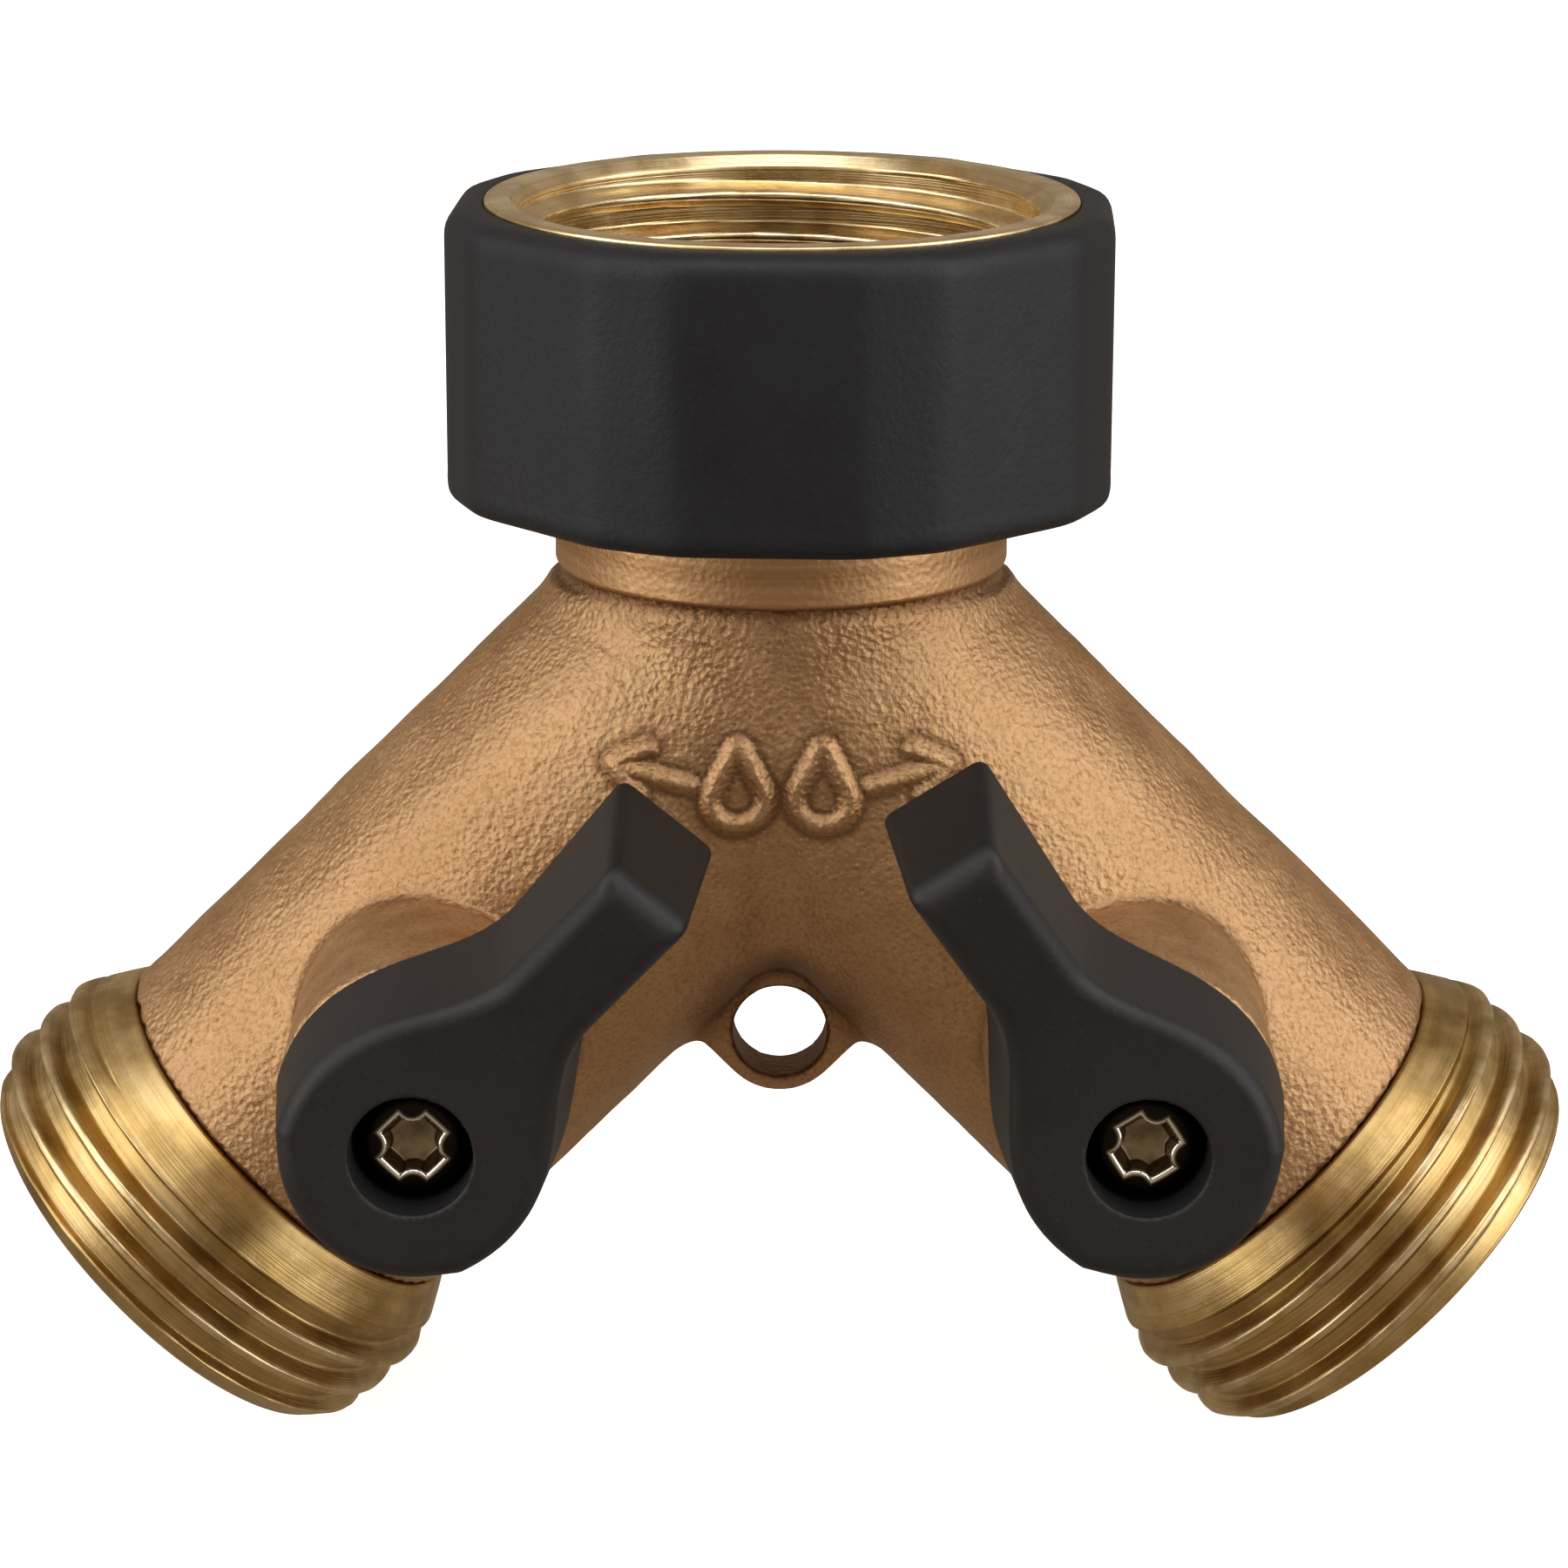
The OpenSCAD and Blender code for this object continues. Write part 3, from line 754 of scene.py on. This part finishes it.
def lever_field(points):
    """A lever with its arm along +X and its back on z = 0."""
    u, v, w = points.T
    ramp = (LEVER_TIP_TOP - HUB_TOP) / (LEVER_TIP_REACH - LEVER_CREASE)
    front = np.maximum(HUB_TOP + ramp * (u - LEVER_CREASE), HUB_TOP)
    half = LEVER_HALF_BACK - (LEVER_HALF_BACK - LEVER_HALF_FRONT) * np.clip(w / front, 0, 1.1)
    arm = np.maximum(np.abs(v) - half, -u)
    hub = np.hypot(u, v) - HUB_R + HUB_DRAFT * w
    side = round_union(hub, arm, 4.5)
    slant = math.cos(math.atan(ramp))
    top = round_union(w - HUB_TOP, (w - HUB_TOP - ramp * (u - LEVER_CREASE)) * slant, 1.2)
    end = u - LEVER_REACH + (LEVER_REACH - LEVER_TIP_REACH) * w / LEVER_TIP_TOP
    solid = round_overlap(side, end, 0.6)
    solid = round_overlap(solid, top, 1.0)
    chamfer = (end + top + LEVER_CHAMFER) * math.sqrt(0.5)
    solid = round_overlap(solid, chamfer, 0.5)
    solid = round_overlap(solid, -w, 0.4)
    bore = np.maximum(np.hypot(u, v) - COUNTERBORE_R, WEB_TOP - w)
    solid = cut(solid, bore, 0.15)
    socket = np.maximum(np.maximum(np.abs(u), np.abs(v)) - DRIVE_SOCKET_HALF, w - DRIVE_SOCKET_DEPTH)
    hole = np.hypot(u, v) - SCREW_HOLE_R
    return np.maximum(solid, -np.minimum(socket, hole))


def lever_painted_shade(points):
    """Painted shade: the inside of the counterbore, and the end of the arm, painted darker where less light falls.
    """
    u, v, w = points.T
    inside = smooth_step(COUNTERBORE_R + 0.2, COUNTERBORE_R, np.hypot(u, v))
    inside = inside * smooth_step(HUB_TOP, HUB_TOP - 0.7, w)
    end = smooth_step(LEVER_TIP_REACH - 0.6, LEVER_TIP_REACH + 0.1, u)
    return np.maximum(inside, 0.6 * end * smooth_step(LEVER_TIP_TOP - 0.8, LEVER_TIP_TOP - 1.8, w))


def valve_pieces(name, field, low, high, cell, angles, painted, amount):
    """A piece on each valve, both from one mesh whose +X points at their angles in the front view."""
    vertices, quads = field_mesh(field, low, high, cell)
    pieces = []
    for side, angle in zip((LEFT, RIGHT), angles):
        arm = Vector((math.cos(math.radians(angle)), 0, math.sin(math.radians(angle))))
        place = axes_matrix(valve_place[side], arm, FRONT)
        piece = new_object(SIDE_NAMES[side] + name, vertices, quads, place)
        set_field_normals(piece, field)
        paint(piece, painted, amount)
        pieces.append(piece)
    return pieces


def make_levers():
    cell = 0.25
    low, high = (-HUB_R, -HUB_R, 0), (LEVER_REACH, HUB_R, LEVER_TIP_TOP + 0.5)
    angles = lever_angle(LEFT), lever_angle(RIGHT)
    # Painted shade on the levers: the counterbore's inside and the arm's end.
    return valve_pieces("_lever_handle", lever_field, low, high, cell, angles, "crevice", lever_painted_shade)


SCREW_HEAD_R = 2.75
SCREW_HEAD_TOP = WEB_TOP + 2.5
SCREW_DOME_R = 9.0
SCREW_SHANK_R = 1.45
SCREW_TIP = -4
RECESS_DEPTH = 1.5
# Angle of the left and the right screw's recess in the front view
RECESS_ANGLES = 45, 32


def cross_recess(points):
    """The tapered cross that a driver fits, its arms along X and Y."""
    u, v, w = points.T
    down = np.clip(SCREW_HEAD_TOP - w, 0, 3)
    reach = 1.6 - 0.4 * down
    half = 0.6 - 0.1 * down
    arm_u = np.maximum(np.abs(u) - reach, np.abs(v) - half)
    arm_v = np.maximum(np.abs(v) - reach, np.abs(u) - half)
    recess = round_union(arm_u, arm_v, 0.9)
    return round_overlap(recess, SCREW_HEAD_TOP - RECESS_DEPTH - w + 0.25 * np.hypot(u, v), 0.1)


def screw_field(points):
    """A pan-head screw with a cross recess."""
    u, v, w = points.T
    away = np.hypot(u, v)
    dome = length(points - np.array([0, 0, SCREW_HEAD_TOP - SCREW_DOME_R])) - SCREW_DOME_R
    head = round_overlap(away - SCREW_HEAD_R, dome, 0.7)
    head = round_overlap(head, WEB_TOP - w, 0.1)
    shank = np.maximum(away - SCREW_SHANK_R, np.maximum(w - WEB_TOP - 0.5, SCREW_TIP - w))
    return cut(np.minimum(head, shank), cross_recess(points), 0.22)


def screw_shade_and_highlight(points):
    """How much painted light the screw gets: some all over the recess and most on its edge, for a painted
    highlight; 0 on the head, which stays painted dark as shade.
    """
    recess = cross_recess(points)
    on_top = smooth_step(0.6, 0.1, SCREW_HEAD_TOP - points[:, 2])
    return np.clip(smooth_step(0.3, 0.12, recess) * (0.4 + 0.6 * on_top), 0, 1)


def make_screws():
    cell = 0.075
    low, high = (-SCREW_HEAD_R, -SCREW_HEAD_R, SCREW_TIP), (SCREW_HEAD_R, SCREW_HEAD_R, SCREW_HEAD_TOP)
    # Painted light on the screws: the head dark as shade, the recess's edge bright as a highlight.
    return valve_pieces("_cross_screw", screw_field, low, high, cell, RECESS_ANGLES, "bared", screw_shade_and_highlight)


# ---- materials

class Material:
    """A node material built around one Principled shader."""

    def __init__(self, name):
        self.material = bpy.data.materials.new(name)
        self.material.use_nodes = True
        self.tree = self.material.node_tree
        self.shader = self.tree.nodes["Principled BSDF"]
        self.place = self.node("ShaderNodeTexCoord").outputs["Object"]

    def node(self, kind, **settings):
        made = self.tree.nodes.new(kind)
        for key, value in settings.items():
            setattr(made, key, value)
        return made

    def link(self, source, target):
        self.tree.links.new(source, target)

    def put(self, socket, value):
        """Sets a socket to a constant, or links it to another node's output."""
        if isinstance(value, (int, float)):
            socket.default_value = value
        else:
            self.link(value, socket)

    def math(self, operation, a, b=0.0, c=0.0):
        made = self.node("ShaderNodeMath", operation=operation)
        for socket, value in zip(made.inputs, (a, b, c)):
            self.put(socket, value)
        return made.outputs[0]

    def painted(self, name):
        """The amount that paint() stored on the mesh under that name."""
        return self.node("ShaderNodeAttribute", attribute_name=name).outputs["Fac"]

    def noise(self, size_mm, detail, roughness=0.55, place=None):
        """Noise from 0 to 1 with features about that many millimetres wide."""
        made = self.node("ShaderNodeTexNoise")
        self.link(place or self.place, made.inputs["Vector"])
        made.inputs["Scale"].default_value = 1 / (size_mm * MM * 2)
        made.inputs["Detail"].default_value = detail
        made.inputs["Roughness"].default_value = roughness
        return made.outputs["Fac"]

    def spots(self, size_mm):
        """Rounded cells about that many millimetres wide, 0 at their middles."""
        made = self.node("ShaderNodeTexVoronoi", feature="SMOOTH_F1")
        self.link(self.place, made.inputs["Vector"])
        made.inputs["Scale"].default_value = 1 / (size_mm * MM)
        made.inputs["Smoothness"].default_value = 0.5
        return made.outputs["Distance"]

    def turned_place(self):
        """Coordinates that are the same all the way round local Z: radius and height."""
        split = self.node("ShaderNodeSeparateXYZ")
        self.link(self.place, split.inputs[0])
        x, y, z = split.outputs
        squares = self.math("ADD", self.math("MULTIPLY", x, x), self.math("MULTIPLY", y, y))
        radius = self.math("SQRT", squares)
        join = self.node("ShaderNodeCombineXYZ")
        self.link(radius, join.inputs[0])
        self.link(z, join.inputs[2])
        return join.outputs[0], radius, z

    def ramp(self, value, *stops):
        """A colour ramp through (position, colour) stops."""
        made = self.node("ShaderNodeValToRGB")
        self.link(value, made.inputs[0])
        band = made.color_ramp
        while len(band.elements) < len(stops):
            band.elements.new(0.5)
        for element, (position, colour) in zip(band.elements, stops):
            element.position = position
            element.color = (*colour, 1)
        return made.outputs[0]

    def spread(self, value, low, high, start=0.0, end=1.0):
        """Maps a 0 to 1 value to a range."""
        made = self.node("ShaderNodeMapRange")
        self.put(made.inputs["Value"], value)
        made.inputs["From Min"].default_value = start
        made.inputs["From Max"].default_value = end
        made.inputs["To Min"].default_value = low
        made.inputs["To Max"].default_value = high
        return made.outputs[0]

    def mix(self, factor, a, b):
        """Colour a where the factor is 0 and colour b where it is 1."""
        made = self.node("ShaderNodeMix", data_type="RGBA")
        self.put(made.inputs["Factor"], factor)
        for socket, value in ((made.inputs[6], a), (made.inputs[7], b)):
            if isinstance(value, tuple):
                socket.default_value = (*value, 1)
            else:
                self.link(value, socket)
        return made.outputs[2]

    def bump(self, height, distance_mm, strength, under=None):
        """A normal from a height of 0 to 1 that stands for that many millimetres."""
        made = self.node("ShaderNodeBump")
        made.inputs["Distance"].default_value = distance_mm * MM
        self.put(made.inputs["Strength"], strength)
        self.link(height, made.inputs["Height"])
        if under is not None:
            self.link(under, made.inputs["Normal"])
        return made.outputs[0]

    def finish(self, colour, roughness, normal=None, metallic=0.0):
        """Joins everything to the shader and returns the material."""
        self.link(colour, self.shader.inputs["Base Color"])
        self.put(self.shader.inputs["Roughness"], roughness)
        self.shader.inputs["Metallic"].default_value = metallic
        if normal is not None:
            self.link(normal, self.shader.inputs["Normal"])
        return self.material


def srgb(red, green, blue):
    """Linear colour of an sRGB colour given from 0 to 255."""
    shares = [level / 255 for level in (red, green, blue)]
    return tuple(c / 12.92 if c <= 0.04045 else ((c + 0.055) / 1.055) ** 2.4 for c in shares)


def cast_brass():
    """Sand-cast and tumbled brass, with a smoother turned band under the nut, and painted shade darkening its
    creases and edges.
    """
    m = Material("cast_brass")
    turned_place, radius, z = m.turned_place()
    on_band = m.math("MULTIPLY", m.math("GREATER_THAN", z, (BAND_BOTTOM - 0.05) * MM),
                     m.math("LESS_THAN", radius, (NECK_R + 0.06) * MM))
    crevice = m.painted("crevice")
    broad = m.noise(6, 3)
    patch = m.noise(1.2, 4)
    grain = m.noise(0.2, 3, 0.6)
    pits = m.spots(0.34)
    tone = m.math("ADD", m.math("MULTIPLY", broad, 0.45), m.math("MULTIPLY", patch, 0.55))
    shades = (0.3, srgb(170, 132, 94)), (0.5, srgb(184, 147, 108)), (0.72, srgb(198, 162, 122))
    colour = m.ramp(tone, *shades)
    dark = m.spread(m.noise(0.13, 2), 1.0, 0.0, 0.36, 0.52)
    colour = m.mix(m.math("MULTIPLY", dark, 0.34), colour, srgb(132, 92, 54))
    line = m.noise(0.2, 2, 0.5, turned_place)
    band_colour = m.ramp(line, (0.3, srgb(172, 132, 92)), (0.7, srgb(196, 156, 114)))
    colour = m.mix(on_band, colour, band_colour)
    # Painted shade: dark brown where the mesh's painted shade amount is high.
    colour = m.mix(m.math("MULTIPLY", crevice, 0.7), colour, srgb(94, 58, 32))
    rough = m.spread(patch, 0.5, 0.62, 0.3, 0.7)
    rough = m.math("MULTIPLY_ADD", on_band, -0.05, rough)
    height = m.math("ADD", m.math("MULTIPLY", grain, 0.7), m.math("MULTIPLY", pits, 0.45))
    normal = m.bump(height, 0.15, m.spread(on_band, 1.0, 0.35))
    normal = m.bump(line, 0.015, m.spread(on_band, 0.0, 0.4), normal)
    return m.finish(colour, rough, normal, 1.0)


def turned_brass(name, dull, middle, bright, polished, dulled):
    """Turned brass with tool marks round the axis, stains, and thread crests made paler, partly as wear and partly
    as a painted highlight.
    """
    m = Material(name)
    turned_place, _, _ = m.turned_place()
    fine = m.noise(0.06, 2, 0.6, turned_place)
    wide = m.noise(0.5, 2, 0.5, turned_place)
    stain = m.noise(1.8, 5)
    tone = m.math("ADD", m.math("MULTIPLY", wide, 0.45), m.math("MULTIPLY", stain, 0.55))
    colour = m.ramp(tone, (0.34, dull), (0.5, middle), (0.66, bright))
    scored = m.spread(m.noise(0.1, 3, 0.7, turned_place), 0.35, 0.0, 0.38, 0.5)
    colour = m.mix(scored, colour, tuple(0.5 * c for c in dull))
    blotch = m.spread(m.noise(2.6, 4, 0.6), 0.55, 0.0, 0.4, 0.52)
    colour = m.mix(blotch, colour, tuple(0.62 * c for c in dull))
    # Thread crests paler: partly wear, partly a painted highlight.
    crest_wear_and_highlight = m.math("MULTIPLY", m.painted("crest"), m.spread(m.noise(0.9, 4), 0.05, 0.6, 0.35, 0.6))
    colour = m.mix(crest_wear_and_highlight, colour, tuple(0.12 + 0.88 * c for c in bright))
    rough = m.spread(m.math("ADD", fine, stain), polished, dulled, 0.7, 1.3)
    normal = m.bump(fine, 0.03, 0.8)
    normal = m.bump(m.noise(0.2, 3), 0.025, 0.35, normal)
    m.shader.inputs["Anisotropic"].default_value = 0.4
    tangent = m.node("ShaderNodeTangent", direction_type="RADIAL", axis="Z")
    m.link(tangent.outputs[0], m.shader.inputs["Tangent"])
    return m.finish(colour, rough, normal, 1.0)


def moulded_plastic(name, dark, light, rough_low, rough_high, grain_mm, depth_mm, specular):
    """Black moulded plastic with a fine eroded texture, pale specks and handled patches, and painted shade, black
    and fully rough, where the painted shade amount is high.
    """
    m = Material(name)
    patch = m.noise(3.5, 4)
    grain = m.noise(grain_mm, 2, 0.6)
    colour = m.mix(m.spread(patch, 0.0, 1.0, 0.3, 0.7), dark, light)
    speck = m.spread(m.noise(grain_mm * 0.8, 1), 0.0, 0.5, 0.62, 0.75)
    colour = m.mix(speck, colour, tuple(min(1, c * 1.7) for c in light))
    crevice = m.painted("crevice")
    # Painted shade: black where the mesh's painted shade amount is high.
    colour = m.mix(m.math("MULTIPLY", crevice, 0.95), colour, (0.0, 0.0, 0.0))
    rough = m.math("MAXIMUM", m.spread(patch, rough_low, rough_high, 0.3, 0.7), crevice)
    normal = m.bump(grain, depth_mm, 0.6)
    normal = m.bump(m.noise(2.5, 2), 0.05, 0.15, normal)
    m.shader.inputs["Specular IOR Level"].default_value = specular
    return m.finish(colour, rough, normal)


def plated_screw():
    """A screw with its head painted near black as shade, warm metal in the recess and a painted near-white
    highlight on the recess's edge.
    """
    m = Material("screw_steel")
    patch = m.noise(0.5, 3)
    bared = m.painted("bared")
    # Painted reflection: the recess's metal is tinted warm for the brass it reflects.
    metal = m.ramp(patch, (0.3, srgb(112, 96, 74)), (0.7, srgb(158, 140, 112)))
    # Painted highlight: near-white on the recess's edge.
    metal = m.mix(m.spread(bared, 0.0, 1.0, 0.6, 1.0), metal, srgb(246, 242, 234))
    # Painted shade: near black on the head away from the recess.
    colour = m.mix(m.spread(bared, 0.0, 1.0, 0.0, 0.4), srgb(38, 35, 32), metal)
    rough = m.spread(bared, 0.45, 0.18)
    return m.finish(colour, rough, m.bump(m.noise(0.12, 2), 0.01, 0.3), 1.0)


def spring_steel():
    m = Material("spring_steel")
    turned_place, _, _ = m.turned_place()
    line = m.noise(0.12, 2, 0.5, turned_place)
    colour = m.ramp(line, (0.3, srgb(165, 165, 163)), (0.7, srgb(205, 205, 202)))
    return m.finish(colour, m.spread(line, 0.2, 0.35), m.bump(line, 0.01, 0.3), 1.0)


def black_rubber():
    m = Material("black_rubber")
    grain = m.noise(0.25, 3)
    colour = m.mix(m.noise(1.5, 3), srgb(26, 26, 27), srgb(46, 45, 45))
    return m.finish(colour, m.spread(grain, 0.6, 0.8), m.bump(grain, 0.03, 0.4))


def white_ptfe():
    m = Material("ptfe")
    grain = m.noise(0.8, 3)
    colour = m.mix(grain, srgb(226, 226, 220), srgb(242, 241, 236))
    m.shader.inputs["Subsurface Weight"].default_value = 0.1
    m.shader.inputs["Subsurface Scale"].default_value = 0.5 * MM
    return m.finish(colour, m.spread(grain, 0.35, 0.5), m.bump(grain, 0.02, 0.2))


def chromed_ball():
    m = Material("ball_chrome")
    patch = m.noise(2.0, 3)
    colour = m.mix(patch, srgb(205, 207, 210), srgb(232, 233, 235))
    return m.finish(colour, m.spread(patch, 0.05, 0.12), m.bump(m.noise(0.6, 2), 0.004, 0.2), 1.0)


def stem_brass():
    m = Material("stem_brass")
    fine = m.noise(0.15, 3)
    colour = m.mix(fine, srgb(196, 156, 88), srgb(226, 190, 118))
    return m.finish(colour, m.spread(fine, 0.25, 0.4), m.bump(fine, 0.01, 0.3), 1.0)


def dress(piece, material):
    """Gives every material slot of a piece that material."""
    if not piece.material_slots:
        piece.data.materials.append(material)
    for place in piece.material_slots:
        place.material = material


# ---- the object

def add_piece(piece, body, material_slot, material, *nodes):
    """Dresses a piece and puts it on a body, in place of CAD nodes."""
    dress(piece, material)
    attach(piece, body)
    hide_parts(*nodes)


def build_object():
    """Gives every CAD node a material, then adds the pieces that replace some of them."""
    dull, middle, bright = srgb(166, 134, 80), srgb(190, 160, 106), srgb(212, 188, 142)
    # Painted light: the nut gets a lighter copy of the same turned brass, standing in for more light reaching
    # inside the nut.
    nut_lit_dull, nut_lit_middle, nut_lit_bright = srgb(218, 188, 138), srgb(238, 214, 168), srgb(247, 230, 194)
    materials = {
        "cast_brass": cast_brass(),
        "turned_brass": turned_brass("turned_brass", dull, middle, bright, 0.27, 0.44),
        "nut_brass": turned_brass("nut_brass", nut_lit_dull, nut_lit_middle, nut_lit_bright, 0.2, 0.36),
        "grip_plastic": moulded_plastic(
            "grip_plastic", srgb(11, 11, 18), srgb(20, 20, 26),
            rough_low=0.5, rough_high=0.64, grain_mm=0.18, depth_mm=0.05, specular=0.38
        ),
        "lever_plastic": moulded_plastic(
            "lever_plastic", srgb(21, 18, 20), srgb(31, 26, 27),
            rough_low=0.54, rough_high=0.66, grain_mm=0.2, depth_mm=0.03, specular=0.4
        ),
        "spring_steel": spring_steel(),
        "black_rubber": black_rubber(),
        "ptfe": white_ptfe(),
        "ball_chrome": chromed_ball(),
        "stem_brass": stem_brass(),
        "screw_steel": plated_screw(),
    }
    for part in record["subparts"]:
        dress(frame["nodes"][part["node"]], materials[part["material_slot"]])
    add_piece(make_body(), "casting", "cast_brass", materials["cast_brass"], "body")
    for side in (LEFT, RIGHT):
        node = SIDE_NAMES[side] + "_outlet_fitting"
        add_piece(make_outlet(side), "casting", "turned_brass", materials["turned_brass"], node)
    add_piece(make_nut(), "inlet_nut", "turned_brass", materials["nut_brass"], "swivel_nut")
    add_piece(make_grip(), "inlet_nut", "grip_plastic", materials["grip_plastic"], "nut_grip")
    for side, lever, screw in zip((LEFT, RIGHT), make_levers(), make_screws()):
        body = SIDE_NAMES[side] + "_valve"
        node = SIDE_NAMES[side] + "_lever"
        add_piece(lever, body, "lever_plastic", materials["lever_plastic"], node)
        add_piece(screw, body, "screw_steel", materials["screw_steel"], node + "_screw")


# ---- stage, light and camera

def stage_material(name, grey, glow):
    """Plain paper that is lit by the lamps and also glows a little, so that it stays white."""
    m = Material(name)
    tone = m.spread(m.noise(40, 2), 0.985, 1.0)
    m.shader.inputs["Emission Strength"].default_value = glow
    m.link(tone, m.shader.inputs["Emission Color"])
    return m.finish(m.mix(tone, (0.0, 0.0, 0.0), (grey, grey, grey)), 0.9)


def only_seen(piece):
    """The object's reflections and shading leave this piece out."""
    piece.visible_glossy = False
    piece.visible_diffuse = False
    piece.visible_transmission = False


FLOOR_HALF = 1500
BACKDROP_R = 2500


def build_stage():
    """A white floor under the outlets inside a white dome."""
    floor_z = corners("right_outlet_fitting")[0][2]
    flat = [(x * FLOOR_HALF, y * FLOOR_HALF, floor_z) for x, y in ((-1, -1), (1, -1), (1, 1), (-1, 1))]
    floor = new_object("floor", np.array(flat), [(0, 1, 2, 3)])
    dress(floor, stage_material("floor_paper", 0.8, 0.88))
    only_seen(floor)
    bpy.ops.mesh.primitive_uv_sphere_add(segments=48, ring_count=24, radius=BACKDROP_R * MM)
    dome = bpy.context.object
    dome.name = "backdrop"
    dome.data.shade_smooth()
    dress(dome, stage_material("backdrop_paper", 0.2, 1.0))
    only_seen(dome)
    dome.visible_shadow = False


def softbox(name, azimuth, elevation, distance, width, height, power, colour=(1, 1, 1)):
    """A rectangular light that faces the object, sizes in metres. Azimuth 0 is the camera's side."""
    data = bpy.data.lights.new(name, "AREA")
    data.shape = "RECTANGLE"
    data.size = width
    data.size_y = height
    data.energy = power
    data.color = colour
    lamp = bpy.data.objects.new(name, data)
    bpy.context.scene.collection.objects.link(lamp)
    azimuth, elevation = math.radians(azimuth), math.radians(elevation)
    outward = math.cos(elevation)
    away = Vector((math.sin(azimuth) * outward, -math.cos(azimuth) * outward, math.sin(elevation)))
    lamp.location = Vector(JUNCTION) * MM + away * distance
    lamp.rotation_euler = away.to_track_quat("Z", "Y").to_euler()
    lamp.visible_camera = False


COOL_WHITE = (0.96, 0.99, 1.0)
WARM_WHITE = (1.0, 0.83, 0.64)


def build_light():
    """Two big side lights and one above, with a warm fill from all round."""
    world = bpy.data.worlds.new("studio")
    bpy.context.scene.world = world
    world.use_nodes = True
    background = world.node_tree.nodes["Background"]
    background.inputs["Color"].default_value = (*WARM_WHITE, 1)
    background.inputs["Strength"].default_value = 0.345
    softbox("softbox_left", -68, 18, 0.6, 0.5, 0.7, 3.2, COOL_WHITE)
    softbox("softbox_right", 68, 18, 0.6, 0.5, 0.7, 3.2, COOL_WHITE)
    softbox("softbox_top", 0, 68, 0.7, 0.6, 0.4, 2.4)
    bpy.context.scene.view_settings.view_transform = "Standard"


CAMERA_DISTANCE = 251.6
CAMERA_ELEVATION = 14.82
CAMERA_ROLL = 0.166
CAMERA_LENS = 110.1
CAMERA_SHIFT = (0.002, -0.0837)


def build_camera():
    """The camera, aimed at the junction of the pipes and shifted to frame the object."""
    data = bpy.data.cameras.new("camera")
    data.sensor_width = 36
    data.lens = CAMERA_LENS
    data.shift_x, data.shift_y = CAMERA_SHIFT
    data.clip_start = 0.01
    camera = bpy.data.objects.new("camera", data)
    bpy.context.scene.collection.objects.link(camera)
    elevation = math.radians(CAMERA_ELEVATION)
    away = Vector((0, -math.cos(elevation), math.sin(elevation)))
    camera.location = (Vector(JUNCTION) + away * CAMERA_DISTANCE) * MM
    look = away.to_track_quat("Z", "Y").to_matrix().to_4x4()
    roll = Matrix.Rotation(math.radians(CAMERA_ROLL), 4, "Z")
    camera.matrix_world = Matrix.Translation(camera.location) @ look @ roll
    bpy.context.scene.camera = camera


build_camera()
build_object()
build_stage()
build_light()
